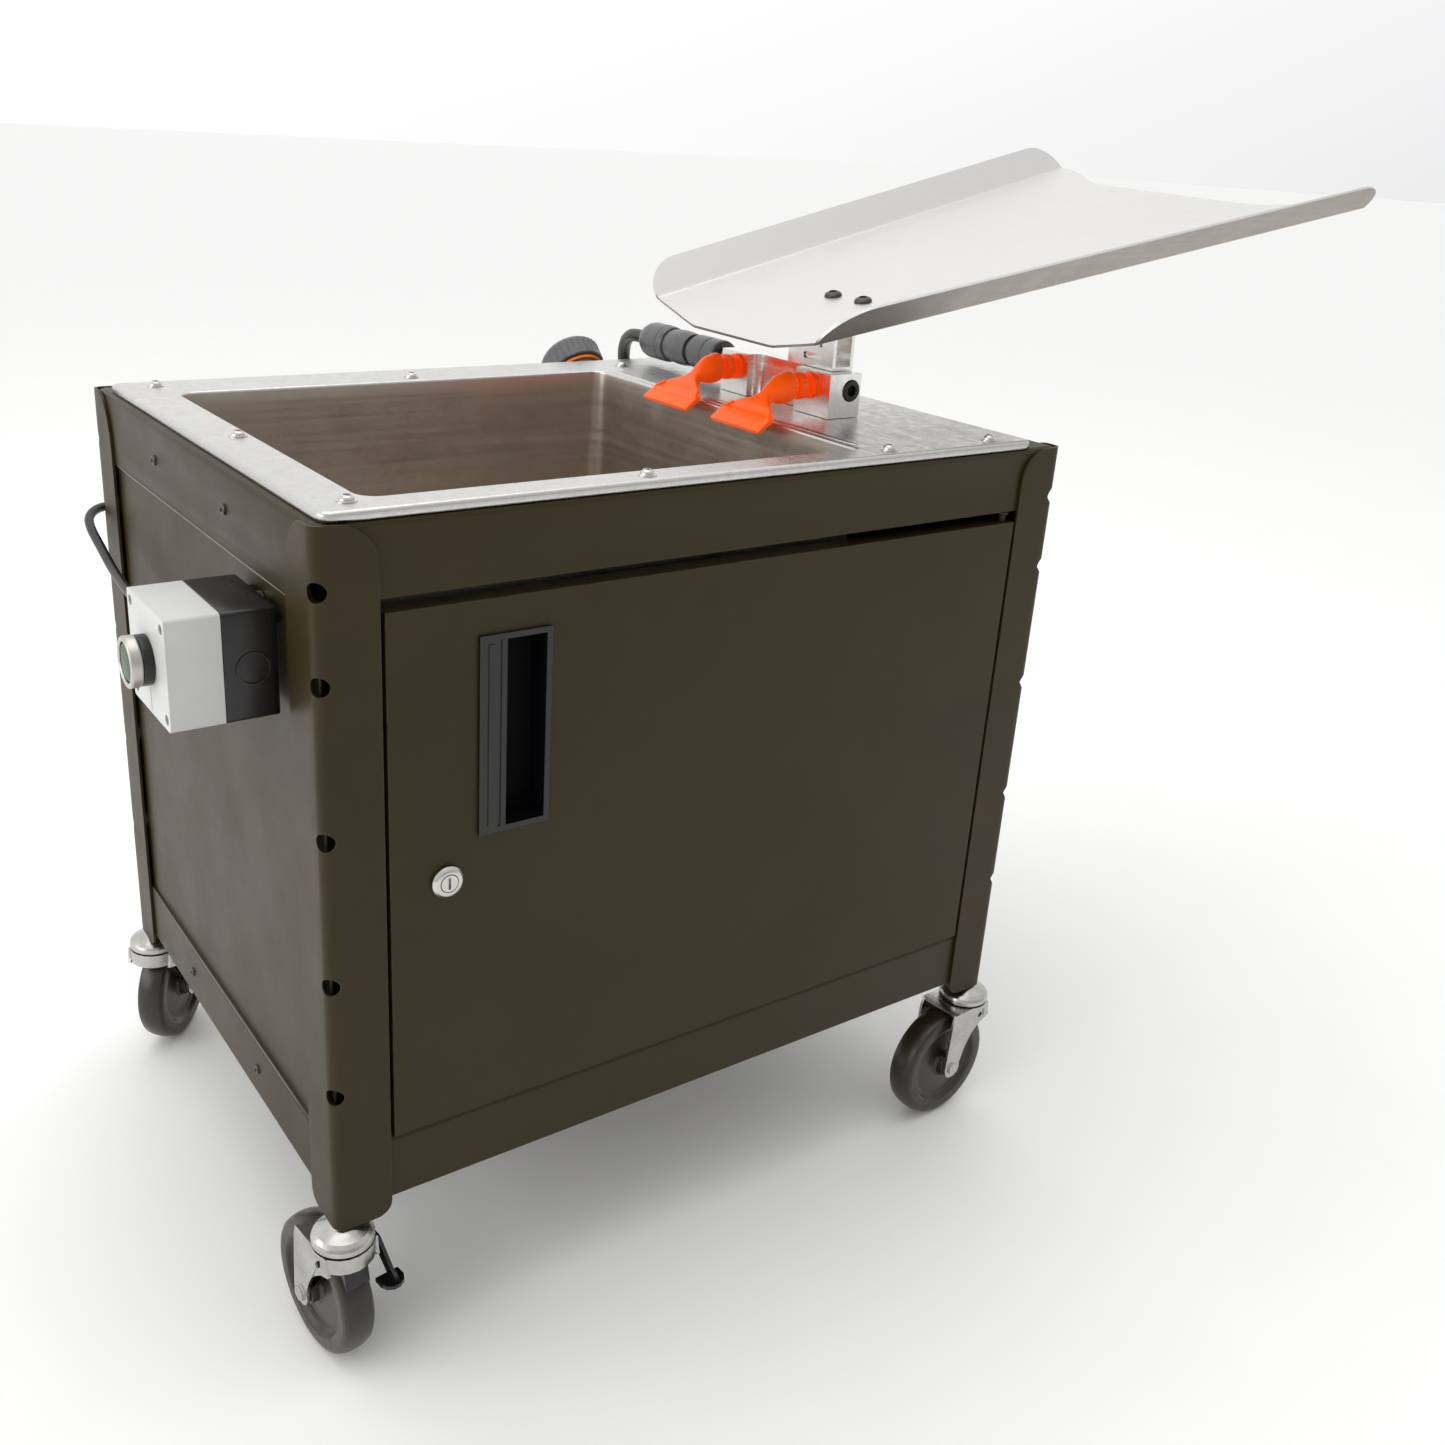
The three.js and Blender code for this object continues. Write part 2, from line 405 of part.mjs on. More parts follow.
// The chute in its own frame: s runs up its length, w across it, n up out of its floor. Two wings are folded
// up along the slanted edges of the floor, and the high end is scooped out between them.
function chute() {
  const { low, high, lowHalf, highHalf, flange, bend, sheet } = CHUTE;
  const scoop = Array.from({ length: 13 }, (_, i) => {
    const t = -0.95 + 1.9 * i / 12;
    const past = Math.max(0, (Math.abs(t) - 0.45) / 0.55);
    return [high - 43 * (1 + Math.cos(Math.PI * past)) / 2, t * highHalf];
  });
  const floorPlate = solid(new THREE.ExtrudeGeometry(outline([
    [low, -lowHalf], [high, -highHalf], ...scoop, [high, highHalf], [low, lowHalf], [low - 29, 12],
    [low - 24, -81],
  ]), { depth: sheet, bevelEnabled: false }).translate(0, 0, -sheet));
  const length = Math.hypot(high - low, highHalf - lowHalf);
  const taper = Math.atan2(highHalf - lowHalf, high - low);
  const tilt = THREE.MathUtils.degToRad(bend);
  const wing = (side) => {
    const fold = new THREE.Vector3(Math.cos(taper), side * Math.sin(taper), 0);
    const outward = new THREE.Vector3(-Math.sin(taper), side * Math.cos(taper), 0);
    const rise = outward.clone().multiplyScalar(Math.cos(tilt)).addScaledVector(EZ, Math.sin(tilt));
    const face = outline([[0, 0], [length, 0], ...arc(length - 34, 0, 34, flange, 18, 90, 5),
      ...arc(38, 0, 38, flange, 90, 162, 5)]);
    const plate = new THREE.ExtrudeGeometry(face, { depth: sheet, bevelEnabled: false });
    plate.translate(0, 0, side > 0 ? -sheet : 0);
    plate.applyMatrix4(basis(fold, rise));
    plate.translate(low, side * lowHalf, 0);
    const elbow = outline([[0, 0], ...arc(0, 0, sheet, sheet, 270, 270 + bend, 4)]);
    const fillet = new THREE.ExtrudeGeometry(elbow, { depth: length, bevelEnabled: false });
    fillet.translate(0, 0, side > 0 ? 0 : -length);
    fillet.applyMatrix4(basis(outward, EZ));
    fillet.translate(low, side * lowHalf, 0);
    return join(solid(plate), solid(fillet));
  };
  const mesh = piece('chute', join(floorPlate, wing(1), wing(-1)), ALUMINIUM);
  mesh.position.set(CHUTE.x, CHUTE.y, CHUTE.z);
  mesh.setRotationFromMatrix(chuteFrame());
}

// An open channel on the manifold. One wall turns over into the sloped seat that the chute is screwed to.
function bracket() {
  const { x0, x1, y0, y1, sheet } = BRACKET;
  const floorZ = BAR.top + GAP, under = CHUTE.sheet + GAP, reach = 32;
  const walls = join(box(x0, x1, y0, y1, floorZ, floorZ + sheet), box(x0, x0 + sheet, y0, y1, floorZ, 720),
    box(x1 - sheet, x1, y0, y1, floorZ, 720));
  const seat = new THREE.BoxGeometry(reach + 12, y1 - y0, sheet);
  seat.translate(x1 + reach / 2 - 6 - CHUTE.x, (y0 + y1) / 2 - CHUTE.y, -under - sheet / 2);
  const placeInChute = (geometry) => solid(geometry.applyMatrix4(chuteFrame())
    .translate(CHUTE.x, CHUTE.y, CHUTE.z));
  const above = new THREE.BoxGeometry(200, 200, 60).translate(0, 0, 30 - under);
  const slot = prism(roundedRect(-80, -56, 657, 662, 2.4, 3), 'x', x0 - 1, x0 + sheet + 1);
  const hole = rod(2.2, x0 - 1, x0 + sheet + 1, [0, -77, 670], [1, 0, 0], 12);
  piece('chute_bracket', cut(join(walls, placeInChute(seat)), placeInChute(above), slot, hole), ALUMINIUM);
}

// ---------------------------------------------------------------- control station
function controlStation() {
  const { back, split, front, y0, y1, z0, z1 } = BOX;
  const { y, z } = BUTTON;
  const out = [-1, 0, 0], wall = 2.5, corner = 3;
  const shell = (a, b) => prism(roundedRect(y0, y1, z0, z1, corner, 3), 'x', a, b);
  const room = (a, b) => box(a, b, y0 + wall, y1 - wall, z0 + wall, z1 - wall);
  const glandHole = rod(6.2, y1 - 5, y1 + 1, [-322, 0, 500], [0, 1, 0], 16);
  const spacers = [y0 + 12, y1 - 12].map((sy) => rod(5, 0, 5.7, [back - 0.1, sy, z1 - 10], [1, 0, 0], 12));
  piece('control_box_base', join(cut(shell(split + GAP / 2, back), room(split - 1, back - wall), glandHole),
    ...spacers), BLACK_PLASTIC);
  const buttonHole = rod(11.3, -5, 8, [front, y, z], [1, 0, 0]);
  const screwWells = [y0 + 6, y1 - 6].flatMap((sy) => [z0 + 7, z1 - 7].map((sz) =>
    rod(2.8, -1, 1.2, [front, sy, sz], [1, 0, 0], 12)));
  piece('control_box_cover', cut(shell(front, split - GAP / 2), room(front + wall, split + 1), buttonHole,
    ...screwWells), WHITE_PLASTIC);

  const collar = turnedAt([[8.6, GAP], [15.2, GAP], [15.2, 6.5], [8.6, 6.5]], [front, y, z], out, 20);
  const thread = turnedAt([[8.6, -15], [11, -15], [11, 1], [8.6, 1]], [front, y, z], out, 20);
  const contacts = box(front + 14, front + 30, y - 11.5, y + 11.5, z - 18, z + 18);
  piece('button_body', join(collar, thread, contacts), BLACK_PLASTIC);
  piece('button_bezel', turnedAt([[12.6, 6.8], [15.6, 6.8], [16, 8], [16, 12.8], [15, 14], [13.4, 14],
    [12.6, 13]], [front, y, z], out, 20), NICKEL);
  piece('button_cap', turnedAt([[0, -9.5], [8, -9.5], [8, 10.8], [12.2, 10.8], [12.2, 12.4], [11.4, 13.2],
    [0, 13.6]], [front, y, z], out, 20), GREEN_LENS);
  piece('cable_gland', turnedAt([[4, -4], [5.9, -4], [5.9, GAP], [9, GAP], [9, 6], [8, 7], [8, 13], [6.4, 16],
    [4, 16]], [-322, y1, 500], [0, 1, 0], 12), BLACK_PLASTIC);
}

// ---------------------------------------------------------------- rear fittings
// The angled neck on the rear skirt carries an orange seal ring and a ribbed quarter-turn cap.
function fillPort() {
  const at = [151, 258, 606], out = [0, 0.777, 0.629];
  const frontFace = box(60, 240, 100, HALF_D - SHELF.inset + GAP, 500, 700);
  const neck = cut(turnedAt([[0, -62], [20, -62], [20, -30], [23.4, -26], [23.4, -17.3], [20, -17.3],
    [20, -8], [0, -8]], at, out, 20), frontFace);
  const foot = rod(28, GAP, 4, [at[0], HALF_D - SHELF.inset, 579], [0, 1, 0], 20);
  piece('fill_neck', join(neck, foot), GREY_PLASTIC);
  piece('fill_seal', turnedAt([[20.3, -17], [25.6, -17], [26.2, -15.4], [25.6, -13.8], [20.3, -13.8]],
    at, out, 20), ORANGE_PLASTIC);
  const rib = (angle) => {
    const bar = new THREE.BoxGeometry(1.4, 3, 17).translate(28.6, 0, -1.5).rotateZ(angle);
    const turn = new THREE.Quaternion().setFromUnitVectors(EZ, new THREE.Vector3(...out).normalize());
    return solid(bar.applyQuaternion(turn).translate(...at));
  };
  const ribs = Array.from({ length: 12 }, (_, i) => rib(2 * Math.PI * i / 12));
  piece('fill_cap', join(turnedAt([[20.4, -13.4], [28.4, -13.4], [28.4, 6], [24.6, 10.6], [16, 13.4],
    [0, 14.4], [0, -7.6], [20.4, -7.6]], at, out, 20), ...ribs), GREY_PLASTIC);
}

function hoseElbow() {
  const x = 218, z = 470, y = 245;
  const stub = rod(8.6, PANEL_BACK_Y - 14, y, [x, 0, z], [0, 1, 0], 16);
  const collar = rod(13, PANEL_BACK_Y + SHEET + GAP, PANEL_BACK_Y + SHEET + 5, [x, 0, z], [0, 1, 0], 16);
  const knee = solid(new THREE.SphereGeometry(9.6, 12, 8).translate(x, y, z));
  const riser = turnedAt([[0, 0], [8.6, 0], [8.6, 12], [9.6, 13], [9.6, 21], [7, 22], [0, 22]], [x, y, z],
    [0, 0, 1], 16);
  piece('hose_elbow', join(stub, collar, knee, riser), BRASS);
}

// ---------------------------------------------------------------- inside the cabinet
function reservoir() {
  const deck = BASE.top + GAP;
  const tub = (grow, z0, z1) =>
    softBlock(-190 - grow, 60 + grow, -150 - grow, 150 + grow, z0, z1, 20 + grow, 8, 3, 1);
  const rim = box(-300, 300, -300, 300, 330, 400);
  piece('reservoir', cut(tub(0, deck, 360), tub(-3, deck + 3, 380), rim), POLY);
}

// A foot-mounted pump: the motor lies along X behind its head, which lifts the solution to the rear elbow.
function pump() {
  const deck = BASE.top + GAP, z = 250, y = 20;
  const head = rod(40, 0, 34, [100, y, z], [1, 0, 0], 20);
  const inlet = rod(12, -22, 1, [100, y, z], [1, 0, 0], 16);
  const outlet = rod(12, 0, 62, [117, y + 24, z], [0, 0, 1], 16);
  const foot = box(106, 130, y - 34, y + 34, deck, z - 20);
  piece('pump_head', join(head, inlet, outlet, foot), GREY_PLASTIC);
  const can = turnedAt([[0, 0], [38, 0], [38, 96], [30, 104], [0, 104]], [134.3, y, z], [1, 0, 0], 20);
  const saddle = box(152, 222, y - 30, y + 30, deck, z - 20);
  const terminal = box(160, 205, y - 20, y + 20, z + 30, z + 58);
  piece('pump_motor', join(can, saddle, terminal), MOTOR_PAINT);
}

function supplyHose() {
  piece('supply_hose', tube([[117, 44, 312.3], [117, 44, 345], [122, 60, 385], [150, 100, 425],
    [196, 140, 456], [216, 172, 469], [218, 192, 470], [218, PANEL_BACK_Y - 14.4, 470]],
  CORD.hose, 24), RUBBER);
}

// ---------------------------------------------------------------- cords
// Both cords start and end in the machine: the button's cable at its gland and the rear panel, the wash hose
// at the coupling and the rear elbow.
function freeCords() {
  piece('control_cable', tube([[-322, -81.6, 500], [-322, -62, 499], [-322.5, -30, 493], [-323, 10, 485],
    [-322.5, 55, 479], [-321.5, 100, 479.5], [-320.5, 140, 483], [-319.5, 180, 491.5], [-319, 213, 501.5],
    [-316.7, 224.7, 505.5], [-310.1, 234.6, 508.5], [-300.2, 241.2, 509.5], [-288.5, 243.5, 508.5],
    [-268.1, 243.5, 503], [-256.5, 241.2, 498.6], [-246.6, 234.6, 494.5], [-233.7, 221.7, 489]],
  CORD.cable, 48), RUBBER, cords);
  piece('wash_hose', tube([[191, 185.4, 637.5], [191, 196.6, 637.5], [191.2, 204, 637.5], [193, 216.9, 635.8],
    [196.1, 229, 630.8], [200.1, 239.4, 622.9], [204.5, 247.3, 612.5], [208.9, 252.3, 600.4],
    [212.9, 254, 587.5], [218, 251.7, 556.1], [218, 247.3, 523.8], [218, 245, 492.4]],
  CORD.hose, 32), RUBBER, cords);
}

// ---------------------------------------------------------------- casters
// Each caster is built with its trail along +X and turned to its heading under its leg.
function casterSpot(name, sx, sy) {
  const spot = new THREE.Group();
  spot.position.set(sx * CASTER.x, sy * CASTER.y, 0);
  spot.rotation.z = THREE.MathUtils.degToRad(HEADINGS[name]);
  machine.add(spot);
  return spot;
}

function caster(name, sx, sy) {
  const { wheel, trail, width, crown, dome, stem } = CASTER;
  const spot = casterSpot(name, sx, sy);
  const up = [0, 0, 1], origin = [0, 0, 0], cross = [0, 1, 0];
  const low = LEG.bottom - 0.4;
  piece(`caster_stem_${name}`, turnedAt([[0, crown + 0.4], [dome - 3, crown + 0.4], [dome, crown + 1.5],
    [dome, crown + 5.5], [18, crown + 11], [9, low - 1], [9, low], [6, low], [6, low + 1.1],
    [stem, low + 1.1], [stem, low + 36],
    [0, low + 36]], origin, up), ZINC, spot);

  const side = outline([[-12, crown], [-13, 97], [-19, 91], [-18, 86], [-10, 76], [8, 60],
    ...arc(trail, wheel, 9.5, 9.5, 155, 360, 6), [33.5, crown - 8], [31, crown]].map(([x, z]) => [z, x]));
  const plate = (y) => prism(side, 'y', y, y + 2.5);
  const crownDisc = rod(22, crown - 3, crown, origin, up, 20);
  const bridge = box(-11, 31, -20, 20, crown - 3, crown);
  const skirt = cut(turnedAt([[20, crown - 12], [22, crown - 12], [22, crown], [20, crown]], origin, up, 20),
    box(-6, 40, -40, 40, 60, crown - 2.5));
  const nut = (y) => rod(6, y, y + 2.5, [trail, 0, wheel], cross, 6);
  const axle = join(rod(4.5, -21.5, 21.5, [trail, 0, wheel], cross, 12), nut(-22), nut(19.5));
  const brakeHole = rod(BRAKE.pin + GAP, -30, 30, [BRAKE.u, 0, BRAKE.z], cross, 10);
  const fork = cut(join(crownDisc, bridge, skirt, plate(-20), plate(17.5)), brakeHole);
  piece(`caster_fork_${name}`, join(fork, axle), ZINC, spot);

  const half = width / 2;
  piece(`wheel_${name}`, turnedAt([[4.8, -16.4], [10, -16.4], [11, -9], [34, -7], [37, -half], [45, -half],
    [49.6, -half + 3], [wheel, 0], [49.6, half - 3], [45, half], [37, half], [34, 7], [11, 9], [10, 16.4],
    [4.8, 16.4]], [trail, 0, wheel], cross, 22), RUBBER, spot);
}

// The brake lever turns on a pin through the fork. Its arm runs outside one fork plate to the foot pad, and
// its shoe rests just clear of the wheel's tread.
function brakeLever(name, sx, sy) {
  const { u, z, pin, low, thick } = BRAKE;
  const { wheel, trail } = CASTER;
  const flat = (points) => outline(points.map(([a, b]) => [b, a]));
  const arm = prism(flat([[u + 4, z + 3], [u - 4, z + 3], [-24, low + 7], [-33, low + thick], [-33, low],
    [-20, low], [u + 3, z - 4]]), 'y', -25, -22.4);
  const pad = prism(outline([[-20, -24], [-20, -12.6], [-25, -12.6], ...arc(-26, -21.5, 9, 9, 100, 260, 5),
    [-20, -30]]), 'z', low, low + thick);
  const shoeArc = arc(trail, wheel, wheel + 3.6, wheel + 3.6, 148, 131, 4);
  const shoe = prism(flat([...shoeArc, [u + 2, z - 1], [u - 2, z + 2], [-17, 92]]), 'y', -9, 9);
  const rodPin = rod(pin, -24, 21.4, [u, 0, z], [0, 1, 0], 10);
  piece(`brake_lever_${name}`, join(arm, pad, shoe, rodPin), BLACK_PAINT, casterSpot(name, sx, sy));
}

// ---------------------------------------------------------------- assembly
for (const [name, sx, sy] of [['front_left', -1, -1], ['front_right', 1, -1], ['back_left', -1, 1],
  ['back_right', 1, 1]]) {
  leg(`leg_${name}`, sx, sy);
  caster(name, sx, sy);
}
brakeLever('front_left', -1, -1);
brakeLever('back_right', 1, 1);
shelves();
panels();
door();
handle();
lock();
tank();
drain();
manifold();
nozzle('front', NOZZLES.front);
nozzle('rear', NOZZLES.rear);
coupling();
chute();
bracket();
controlStation();
fillPort();
hoseElbow();
reservoir();
pump();
supplyHose();
freeCords();

machine.updateMatrixWorld(true);
const bounds = new THREE.Box3().setFromObject(machine, true);
const middle = bounds.getCenter(new THREE.Vector3());
const washer = new THREE.Group();
machine.position.set(-middle.x, -middle.y, -bounds.min.z);
cords.position.copy(machine.position);
washer.add(machine, cords);

export default washer;
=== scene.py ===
# Looks for the parts washer tank: finer surfaces, fasteners, cords, materials, light and camera.
import bmesh
import bpy
from math import atan2, copysign, cos, hypot, pi, radians, sin, sqrt, tan
from mathutils import Matrix, Quaternion, Vector


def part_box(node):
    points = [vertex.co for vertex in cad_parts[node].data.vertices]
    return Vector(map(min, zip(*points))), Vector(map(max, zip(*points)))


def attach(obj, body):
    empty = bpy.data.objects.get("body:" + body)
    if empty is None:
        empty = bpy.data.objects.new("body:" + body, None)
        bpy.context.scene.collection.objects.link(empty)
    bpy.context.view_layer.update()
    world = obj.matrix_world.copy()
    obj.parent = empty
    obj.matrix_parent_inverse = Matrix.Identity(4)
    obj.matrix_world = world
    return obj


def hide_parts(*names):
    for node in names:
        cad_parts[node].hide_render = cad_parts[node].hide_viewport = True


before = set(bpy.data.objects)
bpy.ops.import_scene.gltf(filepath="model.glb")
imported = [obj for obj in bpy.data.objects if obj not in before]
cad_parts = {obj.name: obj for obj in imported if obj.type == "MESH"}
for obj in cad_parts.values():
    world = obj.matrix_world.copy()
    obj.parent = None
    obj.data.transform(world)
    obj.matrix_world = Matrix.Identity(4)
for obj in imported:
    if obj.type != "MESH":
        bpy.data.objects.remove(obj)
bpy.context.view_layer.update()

# Drawing sizes below are millimetres from the middle of the cart, on the floor. W turns them into the frame.
_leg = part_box("leg_front_left")[0]
ORIGIN = Vector((_leg.x + 0.3048, _leg.y + 0.2286, 0.0))


def W(x, y, z):
    return ORIGIN + Vector((x, y, z)) / 1000


def rgb(code):
    def linear(v):
        v /= 255
        return v / 12.92 if v <= 0.04045 else ((v + 0.055) / 1.055) ** 2.4
    return (linear(code >> 16 & 255), linear(code >> 8 & 255), linear(code & 255), 1.0)


# ---- camera
def make_camera():
    yaw, pitch, roll = radians(35.75), radians(21.16), radians(3.33)
    forward = Vector((sin(yaw) * cos(pitch), cos(yaw) * cos(pitch), -sin(pitch)))
    level = Vector((cos(yaw), -sin(yaw), 0))
    above = level.cross(forward)
    right = level * cos(roll) + above * sin(roll)
    up = above * cos(roll) - level * sin(roll)
    data = bpy.data.cameras.new("camera")
    data.sensor_width, data.lens = 36.0, 35.99
    data.shift_x, data.shift_y = 0.0332, -0.0250
    data.clip_start, data.clip_end = 0.02, 100
    camera = bpy.data.objects.new("camera", data)
    bpy.context.scene.collection.objects.link(camera)
    turn = Matrix((right, up, -forward)).transposed()
    camera.matrix_world = Matrix.Translation(W(-585.4, -968.2, 825.1)) @ turn.to_4x4()
    bpy.context.scene.camera = camera


make_camera()


def put(node, *pairs):
    """Sets a node's sockets."""
    for key, value in pairs:
        node.inputs[key].default_value = value


class Nodes:
    """Adds and joins the shader nodes of a material or a world."""

    def __init__(self, owner, shader, place):
        owner.use_nodes = True
        self.owner, self.tree = owner, owner.node_tree
        self.shader = self.tree.nodes[shader]
        self.place = self.add("TexCoord").outputs[place]

    def add(self, kind, **values):
        node = self.tree.nodes.new("ShaderNode" + kind)
        for key, value in values.items():
            setattr(node, key, value)
        return node

    def join(self, a, b):
        self.tree.links.new(a, b)

    def feed(self, value, socket):
        self.join(value, self.shader.inputs[socket])

    def maths(self, operation, a, b):
        node = self.add("Math", operation=operation)
        self.join(a, node.inputs[0])
        self.join(b, node.inputs[1])
        return node.outputs["Value"]

    def noise(self, scale, detail=3.0, rough=0.55, stretch=(1, 1, 1)):
        source = self.place
        if stretch != (1, 1, 1):
            mapping = self.add("Mapping")
            put(mapping, ("Scale", stretch))
            self.join(source, mapping.inputs["Vector"])
            source = mapping.outputs["Vector"]
        node = self.add("TexNoise")
        put(node, ("Scale", scale), ("Detail", detail), ("Roughness", rough))
        self.join(source, node.inputs["Vector"])
        return node.outputs["Fac"]

    def spread(self, value, low, high, start=0.3, end=0.7):
        node = self.add("MapRange")
        put(node, ("From Min", start), ("From Max", end), ("To Min", low), ("To Max", high))
        self.join(value, node.inputs["Value"])
        return node.outputs["Result"]

    def mix(self, factor, a, b):
        node = self.add("Mix", data_type="RGBA")
        self.join(factor, node.inputs["Factor"])
        for socket, colour in ((node.inputs["A"], a), (node.inputs["B"], b)):
            if isinstance(colour, tuple):
                socket.default_value = colour
            else:
                self.join(colour, socket)
        return node.outputs["Result"]

    def bump(self, height, strength, distance, under=None):
        node = self.add("Bump")
        put(node, ("Strength", strength), ("Distance", distance))
        self.join(height, node.inputs["Height"])
        if under:
            self.join(under, node.inputs["Normal"])
        return node.outputs["Normal"]

    def edges(self, radius, start=0.02, end=0.25):
        """1 on outer edges, where wear and a painted highlight go, and 0 on flat faces."""
        bevel = self.add("Bevel", samples=4)
        put(bevel, ("Radius", radius))
        flat = self.add("NewGeometry")
        dot = self.add("VectorMath", operation="DOT_PRODUCT")
        self.join(bevel.outputs["Normal"], dot.inputs[0])
        self.join(flat.outputs["Normal"], dot.inputs[1])
        return self.spread(dot.outputs["Value"], 1.0, 0.0, 1 - end, 1 - start)


def new_finish(name):
    """An empty finish."""
    made = bpy.data.materials.new(name)
    return Nodes(made, "Principled BSDF", "Object")


def finish_of(name, colour, rough, metal=0.0, vary=0.12, patch=9, gloss=0.07, smear=30, grain=900,
        relief=0.12, depth=0.0002, coat=0.0, coat_rough=0.1, specular=0.5, edge=None, wear_and_highlight_colour=None, wear_and_highlight_amount=0.5):
    """A procedural finish: patches of colour, smears of gloss, a grain in relief, and edges lightened for
    wear and as a painted highlight.
    """
    n = new_finish(name)
    base = rgb(colour)
    dark = tuple(c * (1 - vary) for c in base[:3]) + (1,)
    light = tuple(min(1, c * (1 + vary)) for c in base[:3]) + (1,)
    tone = n.mix(n.spread(n.noise(patch, 4, 0.6), 0, 1), dark, light)
    fine = n.noise(grain, 2, 0.5)
    if edge:
        wear_and_highlight_mask = n.maths("MULTIPLY", n.edges(edge), n.spread(n.noise(60, 4, 0.7), 0, wear_and_highlight_amount, 0.4, 0.7))
        tone = n.mix(wear_and_highlight_mask, tone, rgb(wear_and_highlight_colour or colour))
    n.feed(tone, "Base Color")
    n.feed(n.spread(n.noise(smear, 5, 0.65), rough - gloss, rough + gloss), "Roughness")
    n.feed(n.bump(fine, relief, depth), "Normal")
    put(n.shader, ("Metallic", metal), ("Specular IOR Level", specular), ("Coat Weight", coat),
        ("Coat Roughness", coat_rough))
    return n.owner


def brushed(name, colour, rough, streak, strength, mottle, mottle_scale, tint=None):
    """Bare metal with streaks along one direction under faint blotches and scuffs."""
    n = new_finish(name)
    base = rgb(colour)
    dull = rgb(tint) if tint else tuple(c * (1 - mottle) for c in base[:3]) + (1,)
    streaks = n.noise(1.0, 3, 0.6, streak)
    blots = n.noise(mottle_scale, 6, 0.72)
    clouds = n.noise(5, 3, 0.5)
    tone = n.mix(n.spread(blots, 0, 1, 0.35, 0.65), base, dull)
    tone = n.mix(n.spread(clouds, 0, 0.6), tone, dull)
    n.feed(tone, "Base Color")
    soft = n.spread(blots, rough - 0.04, rough + 0.08, 0.35, 0.65)
    n.feed(n.maths("ADD", n.spread(streaks, -0.05, 0.07), soft), "Roughness")
    n.feed(n.bump(streaks, strength, 0.00012, n.bump(blots, 0.03, 0.0002)), "Normal")
    put(n.shader, ("Metallic", 1.0))
    return n.owner


# Its lighter edges are partly wear and partly a painted highlight.
PAINT = finish_of("black_powder_coat", 0x302609, 0.44, vary=0.08, gloss=0.05, smear=14, grain=1500,
    relief=0.22, specular=0.25, edge=0.0012, wear_and_highlight_colour=0x7C776C, wear_and_highlight_amount=0.45)
# A lighter paint for the aprons' hems: a painted highlight on their lower edges.
HEM_HIGHLIGHT = finish_of("hem_painted_highlight", 0x6E695E, 0.34, vary=0.10, grain=1500, relief=0.2)
STEEL = brushed("stainless_deck", 0xD3D2CF, 0.30, (240, 7, 240), 0.2, 0.16, 150)
# The bowl's stainless is a warmer, duller copy of the deck's: painted reflection of brown surroundings, on
# its own satin grain.
BOWL_PAINTED_REFLECTION = brushed("stainless_bowl_painted_reflection", 0xD2CAC0, 0.34, (4, 4, 220), 0.06, 0.06, 30, 0xC2B9AE)
SHEET = brushed("aluminium_sheet", 0xDBDAD8, 0.40, (3, 330, 330), 0.14, 0.04, 22)
# A darker copy of the aluminium sheet for its outer faces: painted shade.
SHEET_PAINTED_SHADE = brushed("aluminium_underside_painted_shade", 0xA9A39B, 0.46, (3, 330, 330), 0.14, 0.05, 22)
MILLED = brushed("machined_aluminium", 0xF2F1EE, 0.20, (260, 5, 260), 0.05, 0.04, 60)
ZINC = finish_of("zinc_plate", 0xB9B8B3, 0.26, 1.0, vary=0.14, patch=60, gloss=0.09, smear=90, grain=700,
    relief=0.14, edge=0.0008, wear_and_highlight_colour=0xE6E4DE)
NICKEL = finish_of("nickel_plate", 0xC9C7C2, 0.22, 1.0, vary=0.06, patch=120, gloss=0.06, smear=200,
    grain=1400, relief=0.06)
BRASS = finish_of("brass", 0xB28B45, 0.27, 1.0, vary=0.15, patch=90, relief=0.08)
WHEEL = finish_of("wheel_rubber", 0x261F13, 0.34, vary=0.22, patch=50, gloss=0.10, smear=110, grain=420,
    relief=0.16, depth=0.0004, coat=0.10, coat_rough=0.25, edge=0.0012, wear_and_highlight_colour=0x6D675B)
ORANGE = finish_of("orange_acetal", 0xFF5C06, 0.34, vary=0.05, patch=70, gloss=0.05, smear=120, grain=1200,
    relief=0.06, specular=0.32, edge=0.0006, wear_and_highlight_colour=0xFF8A4C)
# A slight emission makes the orange plastic glow: painted light, standing in for its translucency.
put(ORANGE.node_tree.nodes["Principled BSDF"], ("Emission Color", rgb(0xFF4E00)), ("Emission Strength", 0.28))
SEAL = finish_of("orange_seal", 0xF0862E, 0.5, vary=0.08, patch=60, relief=0.08)
GREY = finish_of("grey_nylon", 0x58595B, 0.28, vary=0.08, patch=70, gloss=0.06, grain=1100, edge=0.0007,
    wear_and_highlight_colour=0x9A9B9D)
# Its lighter edges are partly wear and partly a painted highlight.
BLACK = finish_of("black_plastic", 0x100F0E, 0.24, vary=0.10, patch=50, gloss=0.06, grain=1300, relief=0.14,
    edge=0.0006, wear_and_highlight_colour=0x5B5A57)
# Its lighter edges are a painted highlight.
ENAMEL = finish_of("black_enamel", 0x0D0D0F, 0.24, vary=0.08, grain=1200, relief=0.08, edge=0.0006,
    wear_and_highlight_colour=0x6A6B6E)
